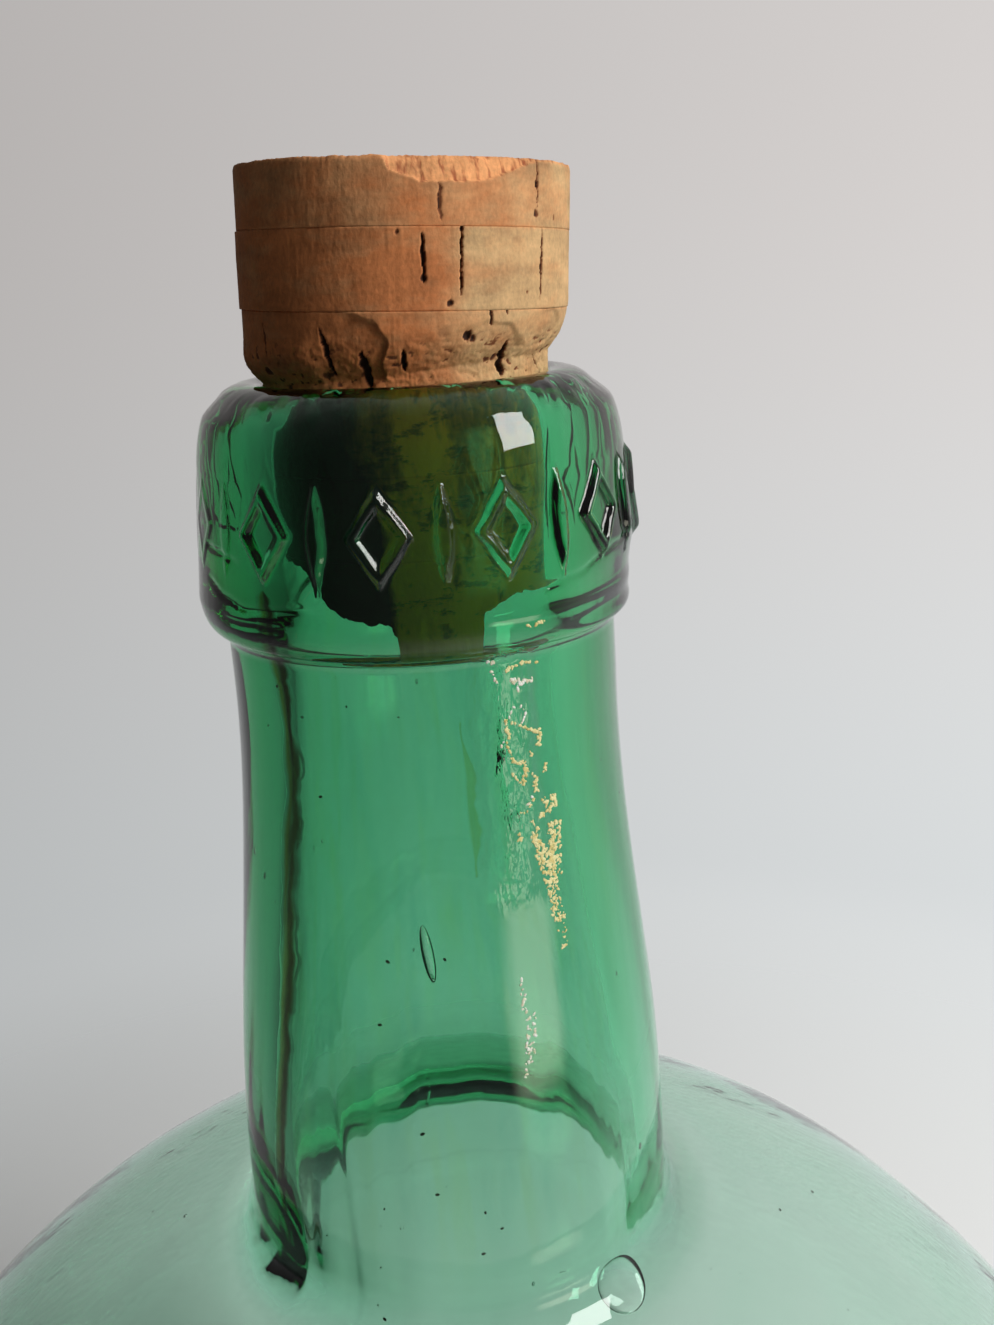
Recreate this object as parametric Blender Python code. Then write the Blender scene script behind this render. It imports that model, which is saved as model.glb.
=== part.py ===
"""Green glass demijohn with a pressed collar and a cork stopper glued up from round layers.

Metres, +Z up. The origin is the centre of the ring that the bottle rests on, and Z is the
axis of the bottle. The stopper slides out along +Z.
"""

import math

import bmesh
import bpy
from mathutils import Matrix, Vector

# Facets round every turned piece, so that neighbours' facets lie behind each other
FACETS = 48

# Clearance between pieces that touch
FIT_GAP = 0.0003
# How far a cutter or a raised figure runs past the face that it crosses
OVERRUN = 0.002

# Belly and shoulder, outside
BELLY_RADIUS = 0.121
BELLY_LINE_HEIGHT = 0.112
SHOULDER_RISE = 0.115
LOWER_SIDE_RADIUS = 0.160
HEEL_RADIUS = 0.012
BELLY_WALL = 0.0024

# Base
FOOT_WIDTH = 0.007
PUNT_HEIGHT = 0.018
BASE_WALL = 0.005
INNER_HEEL_RADIUS = 0.016

# Lip above the crease. Every wall round the stopper is measured out from the mouth
MOUTH_RADIUS = 0.0184
MOUTH_ROUND_HEIGHT = 0.002
LIP_HEIGHT = 0.0305
LIP_WALL = 0.0054
LIP_ROUND_HEIGHT = 0.006
LIP_CREST_WIDTH = 0.0024

# Neck, from the shoulder's crown up to the crease under the collar
NECK_LENGTH = 0.0885
NECK_SWELL_LENGTH = 0.077
NECK_TOP_WALL = 0.0078
NECK_BASE_WALL = 0.0042
# How much narrower the bore is at the crease than at the mouth, and how much it widens below
BORE_TAPER = 0.0008
BORE_SPREAD = 0.0096
FLARE_HEIGHT = 0.006
FLARE_WIDTH = 0.008

# Collar, a band of glass pressed round the neck, and how far it stands out at foot and head
COLLAR_HEAD_DROP = 0.0019
COLLAR_FOOT_STAND = 0.0032
COLLAR_HEAD_STAND = 0.0032
COLLAR_FOOT_ROUND = 0.0046
COLLAR_HEAD_ROUND = 0.0080

# Raised band of lozenges and spindles on the collar
FIGURE_PAIRS = 12
FIGURE_TURN = math.radians(-9)
FIGURE_BAND_LOW = 0.0092
FIGURE_BAND_HEIGHT = 0.0114
FIGURE_RELIEF = 0.0008
LOZENGE_WIDTH = 0.0078
LOZENGE_STROKE = 0.0015
SPINDLE_WIDTH = 0.0022

# Stopper. Its layers are glued up from the foot; those in the bore are thicker
PLUG_LAYERS = 3
PLUG_LAYER_HEIGHT = 0.0094
LAYER_HEIGHT = 0.0086
TOP_LAYER_HEIGHT = 0.0080
STOPPER_SEAT_HEIGHT = 0.0006
HEAD_OVERHANG = 0.0019
HEAD_EDGE_ROUND = 0.0007
WHITTLED_HEIGHT = 0.0072
WHITTLE_FLATS = 11
WHITTLE_DEPTH = 0.0005
CHIP_WIDTH = 0.0150
CHIP_DEPTH = 0.0034
CHIP_TILT = math.radians(52)
CHIP_BEARING = math.radians(-75)

# Radii that follow from those sizes
LIP_SHANK_RADIUS = MOUTH_RADIUS + LIP_WALL
LIP_CREST_RADIUS = MOUTH_RADIUS + LIP_CREST_WIDTH
BORE_WAIST_RADIUS = MOUTH_RADIUS - BORE_TAPER
BORE_BASE_RADIUS = BORE_WAIST_RADIUS + BORE_SPREAD
NECK_TOP_RADIUS = BORE_WAIST_RADIUS + NECK_TOP_WALL
NECK_BASE_RADIUS = BORE_BASE_RADIUS + NECK_BASE_WALL
COLLAR_FOOT_RADIUS = NECK_TOP_RADIUS + COLLAR_FOOT_STAND
COLLAR_HEAD_RADIUS = LIP_SHANK_RADIUS + COLLAR_HEAD_STAND
HEAD_RADIUS = MOUTH_RADIUS + HEAD_OVERHANG

# Heights that follow from those sizes
CROWN_HEIGHT = BELLY_LINE_HEIGHT + SHOULDER_RISE
CREASE_HEIGHT = CROWN_HEIGHT + NECK_LENGTH
MOUTH_HEIGHT = CREASE_HEIGHT + LIP_HEIGHT
COLLAR_HEIGHT = LIP_HEIGHT - COLLAR_HEAD_DROP

GLASS_GREEN = (0.20, 0.52, 0.33, 1.0)
CORK_TAN = (0.55, 0.34, 0.19, 1.0)


def smooth_step(share):
    """Ease from 0 to 1 with level ends."""
    return share * share * (3.0 - 2.0 * share)


def arc(centre, radius, start, end, steps):
    """Points on a circle in the (radius, height) plane, both ends included."""
    points = []
    for i in range(steps + 1):
        angle = start + (end - start) * i / steps
        points.append((centre[0] + radius * math.cos(angle), centre[1] + radius * math.sin(angle)))
    return points


def bend(first, corner, last, steps):
    """Points on the curve that leaves first towards corner and arrives at last from it."""
    points = []
    for i in range(steps + 1):
        t = i / steps
        points.append(tuple((1 - t) ** 2 * a + 2 * t * (1 - t) * b + t * t * c
                            for a, b, c in zip(first, corner, last)))
    return points


def lower_side(side_radius, heel_radius, floor_height):
    """Heel and lower side of the belly, from the floor up to the widest line."""
    side_centre = (BELLY_RADIUS - LOWER_SIDE_RADIUS, BELLY_LINE_HEIGHT)
    heel_height = floor_height + heel_radius
    reach = side_radius - heel_radius
    drop = BELLY_LINE_HEIGHT - heel_height
    across = math.sqrt(reach * reach - drop * drop)
    heel_centre = (side_centre[0] + across, heel_height)
    meet = -math.atan2(drop, across)
    heel = arc(heel_centre, heel_radius, -math.pi / 2, meet, 4)
    side = arc(side_centre, side_radius, meet, 0.0, 7)
    return heel + side[1:]


def shoulder(across, rise, neck_radius):
    """Upper belly from the widest line up to the level stretch of the neck.

    The curve is an elliptic quarter that the flare at the foot of the neck cuts off.
    """
    end_radius = neck_radius + FLARE_WIDTH
    end_angle = math.acos(end_radius / across)
    steps = 9
    points = []
    for i in range(steps + 1):
        angle = end_angle * i / steps
        points.append((across * math.cos(angle), BELLY_LINE_HEIGHT + rise * math.sin(angle)))
    last = points[-1]
    slope = rise / across * math.cos(end_angle) / math.sin(end_angle)
    corner = (neck_radius, last[1] + (last[0] - neck_radius) * slope)
    top = (neck_radius, corner[1] + FLARE_HEIGHT)
    return points + bend(last, corner, top, 3)[1:]


def neck_side(low, base_radius, top_radius, steps):
    """The neck's swelling side from its foot up to the crease."""
    swell = min(NECK_SWELL_LENGTH, CREASE_HEIGHT - low)
    points = []
    for i in range(1, steps + 1):
        share = i / steps
        radius = base_radius + (top_radius - base_radius) * smooth_step(share)
        points.append((radius, low + swell * share))
    if swell < CREASE_HEIGHT - low:
        points.append((top_radius, CREASE_HEIGHT))
    return points


def bore_radius(height):
    """Radius of the tapered bore that grips the stopper, between the crease and the mouth."""
    share = (height - CREASE_HEIGHT) / LIP_HEIGHT
    return BORE_WAIST_RADIUS + (MOUTH_RADIUS - BORE_WAIST_RADIUS) * share


def shank_radius(height):
    """Outside radius of the glass that the collar is pressed onto."""
    share = (height - CREASE_HEIGHT) / (LIP_HEIGHT - LIP_ROUND_HEIGHT)
    return NECK_TOP_RADIUS + (LIP_SHANK_RADIUS - NECK_TOP_RADIUS) * share


def lip():
    """Shank inside the collar, the rounded lip and the mouth's inner edge."""
    shoulder_height = MOUTH_HEIGHT - LIP_ROUND_HEIGHT
    points = [(LIP_SHANK_RADIUS, shoulder_height)]
    points += bend(points[0], (LIP_SHANK_RADIUS, MOUTH_HEIGHT), (LIP_CREST_RADIUS, MOUTH_HEIGHT), 4)[1:]
    mouth = (bore_radius(MOUTH_HEIGHT - MOUTH_ROUND_HEIGHT), MOUTH_HEIGHT - MOUTH_ROUND_HEIGHT)
    points += bend(points[-1], (mouth[0], MOUTH_HEIGHT), mouth, 3)[1:]
    return points


def floor(edge_radius, edge_height, rise, steps):
    """The pushed-up base from the axis out to the edge of the ring."""
    points = []
    for i in range(steps):
        share = i / steps
        points.append((edge_radius * share, edge_height + rise * (1.0 - smooth_step(share))))
    return points


def body_profile():
    """Outer surface from the punt up to the mouth, then the inner surface back down."""
    outer_low = lower_side(LOWER_SIDE_RADIUS, HEEL_RADIUS, 0.0)
    foot_inner = outer_low[0][0] - FOOT_WIDTH
    outer = floor(foot_inner, 0.0, PUNT_HEIGHT, 5) + [(foot_inner, 0.0)] + outer_low
    outer += shoulder(BELLY_RADIUS, SHOULDER_RISE, NECK_BASE_RADIUS)[1:]
    outer += neck_side(outer[-1][1], NECK_BASE_RADIUS, NECK_TOP_RADIUS, 7)
    outer += lip()

    inner_low = lower_side(LOWER_SIDE_RADIUS - BELLY_WALL, INNER_HEEL_RADIUS, BASE_WALL)
    inner = floor(inner_low[0][0], BASE_WALL, PUNT_HEIGHT, 5) + inner_low
    inner += shoulder(BELLY_RADIUS - BELLY_WALL, SHOULDER_RISE - BELLY_WALL, BORE_BASE_RADIUS)[1:]
    inner += neck_side(inner[-1][1], BORE_BASE_RADIUS, BORE_WAIST_RADIUS, 7)
    return outer + inner[::-1]


def collar_profile():
    """Cross-section of the collar, anticlockwise from the foot of its inner face."""
    foot = CREASE_HEIGHT + FIT_GAP
    head = CREASE_HEIGHT + COLLAR_HEIGHT
    inner_foot = (shank_radius(foot) + FIT_GAP, foot)
    inner_head = (shank_radius(head) + FIT_GAP, head)
    if head > MOUTH_HEIGHT - LIP_ROUND_HEIGHT:
        inner_head = (LIP_SHANK_RADIUS + FIT_GAP, head)
    inner_mid_height = min(head, MOUTH_HEIGHT - LIP_ROUND_HEIGHT)
    low_corner = (COLLAR_FOOT_RADIUS, foot)
    low_end = (COLLAR_FOOT_RADIUS, foot + COLLAR_FOOT_ROUND)
    high_corner = (COLLAR_HEAD_RADIUS, head)
    high_start = (COLLAR_HEAD_RADIUS, head - COLLAR_HEAD_ROUND)
    points = bend(inner_foot, low_corner, low_end, 5)
    points += bend(high_start, high_corner, inner_head, 6)
    points.append((LIP_SHANK_RADIUS + FIT_GAP, inner_mid_height))
    return points


def collar_face_radius(height):
    """Outside radius of the collar's tapered face at a height between its rounded edges."""
    low = CREASE_HEIGHT + FIT_GAP + COLLAR_FOOT_ROUND
    high = CREASE_HEIGHT + COLLAR_HEIGHT - COLLAR_HEAD_ROUND
    share = (height - low) / (high - low)
    return COLLAR_FOOT_RADIUS + (COLLAR_HEAD_RADIUS - COLLAR_FOOT_RADIUS) * share


def turned(name, profile, closed):
    """A solid of revolution about Z from (radius, height) points.

    An open profile starts and ends on the axis; a closed one is a ring's section.
    """
    mesh = bpy.data.meshes.new(name)
    bm = bmesh.new()
    rings = []
    for radius, height in profile:
        if radius == 0.0:
            rings.append([bm.verts.new((0.0, 0.0, height))])
            continue
        ring = []
        for i in range(FACETS):
            angle = 2 * math.pi * i / FACETS
            ring.append(bm.verts.new((radius * math.cos(angle), radius * math.sin(angle), height)))
        rings.append(ring)
    pairs = list(zip(rings, rings[1:]))
    if closed:
        pairs.append((rings[-1], rings[0]))
    for low, high in pairs:
        for i in range(FACETS):
            j = (i + 1) % FACETS
            if len(low) == 1:
                bm.faces.new((low[0], high[j], high[i]))
            elif len(high) == 1:
                bm.faces.new((low[i], low[j], high[0]))
            else:
                bm.faces.new((low[i], low[j], high[j], high[i]))
    bmesh.ops.recalc_face_normals(bm, faces=bm.faces)
    bm.to_mesh(mesh)
    bm.free()
    return place(name, mesh)


def place(name, mesh):
    """An object for the mesh, with its round faces shaded smooth."""
    mesh.shade_smooth()
    mesh.set_sharp_from_angle(angle=math.radians(35))
    piece = bpy.data.objects.new(name, mesh)
    bpy.context.scene.collection.objects.link(piece)
    return piece


def glass_material(name):
    material = bpy.data.materials.new(name)
    material.use_nodes = True
    shader = material.node_tree.nodes["Principled BSDF"]
    shader.inputs["Base Color"].default_value = GLASS_GREEN
    shader.inputs["Roughness"].default_value = 0.04
    shader.inputs["Metallic"].default_value = 0.0
    shader.inputs["Transmission Weight"].default_value = 0.9
    shader.inputs["IOR"].default_value = 1.52
    return material


def cork_material(name):
    material = bpy.data.materials.new(name)
    material.use_nodes = True
    shader = material.node_tree.nodes["Principled BSDF"]
    shader.inputs["Base Color"].default_value = CORK_TAN
    shader.inputs["Roughness"].default_value = 0.85
    shader.inputs["Metallic"].default_value = 0.0
    return material


def as_cutter(piece):
    piece.hide_render = True
    piece.display_type = "WIRE"
    return piece


def add_boolean(piece, tool, operation):
    modifier = piece.modifiers.new(operation.title(), "BOOLEAN")
    modifier.operation = operation
    modifier.object = tool
    modifier.solver = "EXACT"


def figure_prism(bm, bearing, outline, inner_outline):
    """Raise one figure on the collar's face from outlines of (sideways, upwards) offsets."""
    middle = CREASE_HEIGHT + FIGURE_BAND_LOW + FIGURE_BAND_HEIGHT / 2

    def on_face(offset, lift):
        height = middle + offset[1]
        radius = collar_face_radius(height)
        angle = bearing + offset[0] / radius
        radius += lift
        return bm.verts.new((radius * math.cos(angle), radius * math.sin(angle), height))

    loops = []
    for points in (outline, inner_outline):
        loops.append([[on_face(p, lift) for p in points] for lift in (-OVERRUN, FIGURE_RELIEF)])
    count = len(outline)
    for i in range(count):
        j = (i + 1) % count
        if inner_outline:
            (outer_low, outer_high), (inner_low, inner_high) = loops
            bm.faces.new((outer_low[i], outer_low[j], outer_high[j], outer_high[i]))
            bm.faces.new((inner_low[j], inner_low[i], inner_high[i], inner_high[j]))
            bm.faces.new((outer_high[i], outer_high[j], inner_high[j], inner_high[i]))
            bm.faces.new((outer_low[j], outer_low[i], inner_low[i], inner_low[j]))
        else:
            low, high = loops[0]
            bm.faces.new((low[i], low[j], high[j], high[i]))
    if not inner_outline:
        low, high = loops[0]
        bm.faces.new(high)
        bm.faces.new(low[::-1])


def collar_figures():
    """Lozenge rings and pointed spindles in turn round the collar."""
    half_height = FIGURE_BAND_HEIGHT / 2
    half_width = LOZENGE_WIDTH / 2
    # The stroke is measured square to the lozenge's slanted sides
    slant = math.hypot(half_height, half_width)
    inset_up = LOZENGE_STROKE * slant / half_width
    inset_side = LOZENGE_STROKE * slant / half_height
    lozenge = [(half_width, 0.0), (0.0, half_height), (-half_width, 0.0), (0.0, -half_height)]
    hole = [(half_width - inset_side, 0.0), (0.0, half_height - inset_up),
            (inset_side - half_width, 0.0), (0.0, inset_up - half_height)]
    half_spindle = SPINDLE_WIDTH / 2
    spindle = [(half_spindle, 0.0), (0.0, half_height), (-half_spindle, 0.0), (0.0, -half_height)]
    mesh = bpy.data.meshes.new("collar_figures")
    bm = bmesh.new()
    for pair in range(FIGURE_PAIRS):
        bearing = FIGURE_TURN + 2 * math.pi * pair / FIGURE_PAIRS
        figure_prism(bm, bearing, lozenge, hole)
        figure_prism(bm, bearing + math.pi / FIGURE_PAIRS, spindle, [])
    bmesh.ops.recalc_face_normals(bm, faces=bm.faces)
    bm.to_mesh(mesh)
    bm.free()
    return as_cutter(place("collar_figures", mesh))


def stopper_radius(height):
    """Radius of the stopper: fitted to the bore, whittled out to the head above the mouth."""
    if height <= MOUTH_HEIGHT:
        return bore_radius(height) - FIT_GAP
    share = min(1.0, (height - MOUTH_HEIGHT) / WHITTLED_HEIGHT)
    foot = bore_radius(MOUTH_HEIGHT) - FIT_GAP
    return foot + (HEAD_RADIUS - foot) * math.sin(share * math.pi / 2)


def layer_profile(low, high, is_head):
    """Side of one layer from the axis at its foot to the axis at its top."""
    points = [(0.0, low)]
    if low < MOUTH_HEIGHT + WHITTLED_HEIGHT and high > MOUTH_HEIGHT:
        steps = 4
        points += [(stopper_radius(low + (high - low) * i / steps), low + (high - low) * i / steps)
                   for i in range(steps + 1)]
    else:
        points.append((stopper_radius(low), low))
        if is_head:
            points += bend((stopper_radius(high), high - HEAD_EDGE_ROUND), (stopper_radius(high), high),
                           (stopper_radius(high) - HEAD_EDGE_ROUND, high), 2)
        else:
            points.append((stopper_radius(high), high))
    points.append((0.0, high))
    return points


def whittle(piece):
    """Cut knife flats round the tapered part of the layer that stands in the mouth."""
    mesh = piece.data
    bm = bmesh.new()
    bm.from_mesh(mesh)
    foot = bore_radius(MOUTH_HEIGHT) - FIT_GAP
    lean = math.atan2(HEAD_RADIUS - foot, WHITTLED_HEIGHT)
    for flat in range(WHITTLE_FLATS):
        bearing = 2 * math.pi * (flat + 0.5) / WHITTLE_FLATS
        out = Vector((math.cos(bearing), math.sin(bearing), 0.0))
        normal = out * math.cos(lean) - Vector((0.0, 0.0, math.sin(lean)))
        # Every other flat is cut half as deep, as strokes of a knife are
        depth = WHITTLE_DEPTH if flat % 2 else WHITTLE_DEPTH / 2
        point = out * (foot - depth) + Vector((0.0, 0.0, MOUTH_HEIGHT))
        cut = bmesh.ops.bisect_plane(bm, geom=bm.verts[:] + bm.edges[:] + bm.faces[:],
                                     plane_co=point, plane_no=normal, clear_outer=True)
        edges = [e for e in cut["geom_cut"] if isinstance(e, bmesh.types.BMEdge)]
        if edges:
            bmesh.ops.edgeloop_fill(bm, edges=edges)
    bmesh.ops.recalc_face_normals(bm, faces=bm.faces)
    bm.to_mesh(mesh)
    bm.free()
    mesh.set_sharp_from_angle(angle=math.radians(12))


def chip_cutter(top):
    """A slanting slab that breaks the stopper's top edge."""
    bm = bmesh.new()
    bmesh.ops.create_cube(bm, size=1.0)
    size = Vector((CHIP_DEPTH + OVERRUN, CHIP_WIDTH, CHIP_DEPTH + OVERRUN))
    bmesh.ops.scale(bm, vec=size, verts=bm.verts)
    bmesh.ops.translate(bm, vec=(size.x / 2, 0.0, 0.0), verts=bm.verts)
    bmesh.ops.rotate(bm, matrix=Matrix.Rotation(-CHIP_TILT, 3, "Y"), verts=bm.verts)
    bmesh.ops.translate(bm, vec=(HEAD_RADIUS - CHIP_DEPTH / 2, 0.0, top), verts=bm.verts)
    bmesh.ops.rotate(bm, matrix=Matrix.Rotation(CHIP_BEARING, 3, "Z"), verts=bm.verts)
    mesh = bpy.data.meshes.new("chip_cutter")
    bm.to_mesh(mesh)
    bm.free()
    return as_cutter(place("chip_cutter", mesh))


def build_bottle():
    body = turned("glass_body", body_profile(), closed=False)
    body.data.materials.append(glass_material("body_glass"))
    collar = turned("neck_collar", collar_profile(), closed=True)
    collar.data.materials.append(glass_material("collar_glass"))
    add_boolean(collar, collar_figures(), "UNION")
    return [body, collar]


def build_stopper():
    heights = [PLUG_LAYER_HEIGHT] * PLUG_LAYERS + [LAYER_HEIGHT, LAYER_HEIGHT, TOP_LAYER_HEIGHT]
    low = CREASE_HEIGHT + STOPPER_SEAT_HEIGHT
    layers = []
    for number, height in enumerate(heights):
        high = low + height
        is_head = number == len(heights) - 1
        # Layer 1 is the top one
        name = f"cork_layer_{len(heights) - number}"
        layer = turned(name, layer_profile(low, high, is_head), closed=False)
        layer.data.materials.append(cork_material(f"{name}_cork"))
        if low < MOUTH_HEIGHT < high:
            whittle(layer)
        if is_head:
            add_boolean(layer, chip_cutter(high), "DIFFERENCE")
        layers.append(layer)
        low = high + FIT_GAP
    return layers


def gather(name, pieces, height):
    """An empty on the axis that carries the pieces, which stay where they are."""
    empty = bpy.data.objects.new(name, None)
    empty.location = (0.0, 0.0, height)
    bpy.context.scene.collection.objects.link(empty)
    for piece in pieces:
        piece.parent = empty
        piece.matrix_parent_inverse = Matrix.Translation(-empty.location)


def main():
    for piece in list(bpy.data.objects):
        bpy.data.objects.remove(piece, do_unlink=True)
    gather("bottle", build_bottle(), 0.0)
    gather("stopper", build_stopper(), MOUTH_HEIGHT)


main()
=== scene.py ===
"""Looks of a green glass demijohn and its layered cork stopper, laid out as an add-on.

Metres, +Z up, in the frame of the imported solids. Bearings are measured round +Z from +X, so
the side that faces the camera lies near -90 degrees. Small marks are placed in millimetres
above the crease under the collar.
"""

import functools
import math
import random

import bmesh
import bpy
from bpy.props import FloatProperty, FloatVectorProperty, IntProperty, PointerProperty
from mathutils import Matrix, Vector, noise
from mathutils.bvhtree import BVHTree


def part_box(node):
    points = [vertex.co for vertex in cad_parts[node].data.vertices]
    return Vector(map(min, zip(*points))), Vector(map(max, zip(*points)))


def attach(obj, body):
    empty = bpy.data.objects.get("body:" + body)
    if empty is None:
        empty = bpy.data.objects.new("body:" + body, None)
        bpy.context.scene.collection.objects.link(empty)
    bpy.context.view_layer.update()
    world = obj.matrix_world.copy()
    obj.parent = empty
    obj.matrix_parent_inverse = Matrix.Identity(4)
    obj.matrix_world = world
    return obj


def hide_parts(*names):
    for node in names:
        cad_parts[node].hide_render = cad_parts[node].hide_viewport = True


bl_info = {
    "name": "Demijohn",
    "version": (1, 0, 0),
    "blender": (4, 5, 0),
    "location": "3D View > Sidebar > Demijohn",
    "description": "Green glass demijohn with a pressed collar and a whittled cork stopper",
    "category": "Object",
}

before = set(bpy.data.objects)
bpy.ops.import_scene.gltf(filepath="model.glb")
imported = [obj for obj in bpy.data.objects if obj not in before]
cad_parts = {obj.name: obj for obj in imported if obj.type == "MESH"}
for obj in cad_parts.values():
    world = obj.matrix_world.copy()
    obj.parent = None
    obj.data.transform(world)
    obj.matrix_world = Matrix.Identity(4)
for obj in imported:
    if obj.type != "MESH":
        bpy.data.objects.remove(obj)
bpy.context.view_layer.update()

GLASS_LOW, GLASS_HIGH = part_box("glass_body")
COLLAR_LOW, COLLAR_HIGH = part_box("neck_collar")
LAYER_BOXES = {number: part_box(f"cork_layer_{number}") for number in range(1, 7)}

MM = 0.001
FIT_GAP = 0.3 * MM
MOUTH_HEIGHT = GLASS_HIGH.z
CREASE_HEIGHT = COLLAR_LOW.z - FIT_GAP

# Points round the belly, the neck and the band of figures; each is a multiple of the one before
BELLY_FACETS = 168
NECK_FACETS = 336
BAND_FACETS = 672

# Points round a cork layer and steps up its side, for dry layers and for those in the mouth
HEAD_FACETS, HEAD_STEPS = 900, 46
PLUG_FACETS, PLUG_STEPS = 360, 34


def length_setting(name, description, default):
    """A size in metres that a user can change."""
    return FloatProperty(name=name, description=description, default=default, unit="LENGTH")


def angle_setting(name, description, default):
    """An angle that a user can change, kept in radians and shown in degrees."""
    return FloatProperty(name=name, description=description, default=default, subtype="ANGLE")


def number_setting(name, description, default):
    """A plain number that a user can change."""
    return FloatProperty(name=name, description=description, default=default)


def colour_setting(name, description, default):
    """A colour that a user can change."""
    return FloatVectorProperty(name=name, description=description, default=default,
                               subtype="COLOR")


class BottleSizes(bpy.types.PropertyGroup):
    """Sizes of the glass body, its wall and what lies in it"""

    belly_radius: length_setting("Belly radius", "Outside radius at the widest line", GLASS_HIGH.x)
    belly_line_height: length_setting("Belly line", "Height of the widest line", 0.112)
    shoulder_rise: length_setting("Shoulder rise", "From the widest line to the crown", 0.115)
    lower_side_radius: length_setting("Lower side", "Radius of the lower side in section", 0.160)
    heel_radius: length_setting("Heel", "Rounding into the resting ring", 0.012)
    inner_heel_radius: length_setting("Inner heel", "Rounding inside the base", 0.016)
    foot_width: length_setting("Foot width", "Width of the resting ring", 0.007)
    punt_height: length_setting("Punt", "Rise of the pushed-up base", 0.018)
    belly_wall: length_setting("Belly wall", "Glass thickness of belly and shoulder", 0.0020)
    base_wall: length_setting("Base wall", "Glass thickness of the base", 0.005)
    neck_base_radius: length_setting("Neck foot radius", "Outside radius at the neck's foot",
                                     0.0314)
    neck_top_radius: length_setting("Neck top radius", "Outside radius under the collar", 0.0254)
    neck_swell_length: length_setting("Neck swell", "Length over which the neck widens", 0.077)
    flare_height: length_setting("Flare height", "Height of the flare at the neck's foot", 0.006)
    flare_width: length_setting("Flare width", "Width of the flare at the neck's foot", 0.008)
    bore_base_radius: length_setting("Bore foot radius", "Bore radius at the neck's foot", 0.0256)
    bore_waist_radius: length_setting("Bore waist radius", "Bore radius at the crease", 0.0176)
    mouth_radius: length_setting("Mouth radius", "Bore radius at the mouth", 0.0184)
    mouth_round: length_setting("Mouth rounding", "Height of the mouth's rounded inner edge",
                                0.0016)
    mouth_chips: length_setting("Mouth chips", "Depth of the chips round the mouth", 0.0013)
    swell: length_setting("Swells", "Slow unevenness of the blown wall", 0.00028)
    streak: length_setting("Streaks", "Streaks drawn out along the neck, inside", 0.00006)
    drawn: length_setting("Drawn bands", "Broad bands of thicker glass along the neck", 0.0002)
    seeds: number_setting("Seeds", "Small bubbles per square metre of glass", 1500.0)
    bore_shift: length_setting("Bore shift", "How far off centre the bore runs at its foot", 0.0005)
    foot_ring: length_setting("Foot ring", "Extra glass inside the neck's foot", 0.0034)
    stone_size: length_setting("Stone size", "Radius of a dark grain in the glass", 0.00024)
    flake_size: length_setting("Flake size", "Radius of a dried flake", 0.00022)
    seed_size: length_setting("Seed size", "Radius of a small bubble", 0.00022)


class CollarSizes(bpy.types.PropertyGroup):
    """Sizes of the collar and its band of raised figures"""

    foot_radius: length_setting("Foot radius", "Widest radius, low on the collar", 0.0286)
    head_radius: length_setting("Head radius", "Radius where the face starts to round over", 0.0271)
    foot_round: length_setting("Foot rounding", "Height of the rounded lower edge", 0.0046)
    head_height: length_setting("Head height", "Height where the face starts to round over", 0.0208)
    crest_radius: length_setting("Crest radius", "Radius of the lip's highest line", 0.0208)
    figure_pairs: IntProperty(name="Figure pairs",
                              description="Lozenges, each with a spindle beside it", default=12)
    band_low: length_setting("Band foot", "Height of the figures' lower points", 0.0092)
    band_height: length_setting("Band height", "Height of the figures", 0.0114)
    figure_turn: angle_setting("Figure turn", "Bearing of the first lozenge", math.radians(-9))
    relief: length_setting("Relief", "How far the figures stand out", 0.0008)
    lozenge_width: length_setting("Lozenge width", "Width of a lozenge", 0.0078)
    stroke: length_setting("Stroke", "Width of a lozenge's raised line", 0.0015)
    spindle_width: length_setting("Spindle width", "Width of a spindle at its middle", 0.0022)
    wobble: length_setting("Wobble", "How far the pressed figures stray from their outline", 0.0005)


class StopperSizes(bpy.types.PropertyGroup):
    """Sizes of the cork stopper and its marks"""

    head_radius: length_setting("Head radius", "Radius of the uncut cork", 0.0201)
    glue_line: length_setting("Glue line", "Gap left between neighbouring layers", 0.00002)
    sideways: length_setting("Sideways", "How far the head sits off the bottle's axis", 0.0002)
    lean: angle_setting("Lean", "How crooked the stopper sits", math.radians(2.4))
    lean_height: length_setting("Lean height", "Height over which the lean sets in", 0.006)
    edge_round: length_setting("Edge rounding", "Worn edge of each layer", 0.00004)
    grain: length_setting("Grain", "Depth of the cork's grain", 0.00004)
    chip_depth: length_setting("Chip depth", "How far the broken edge stands back", 0.0014)


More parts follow.
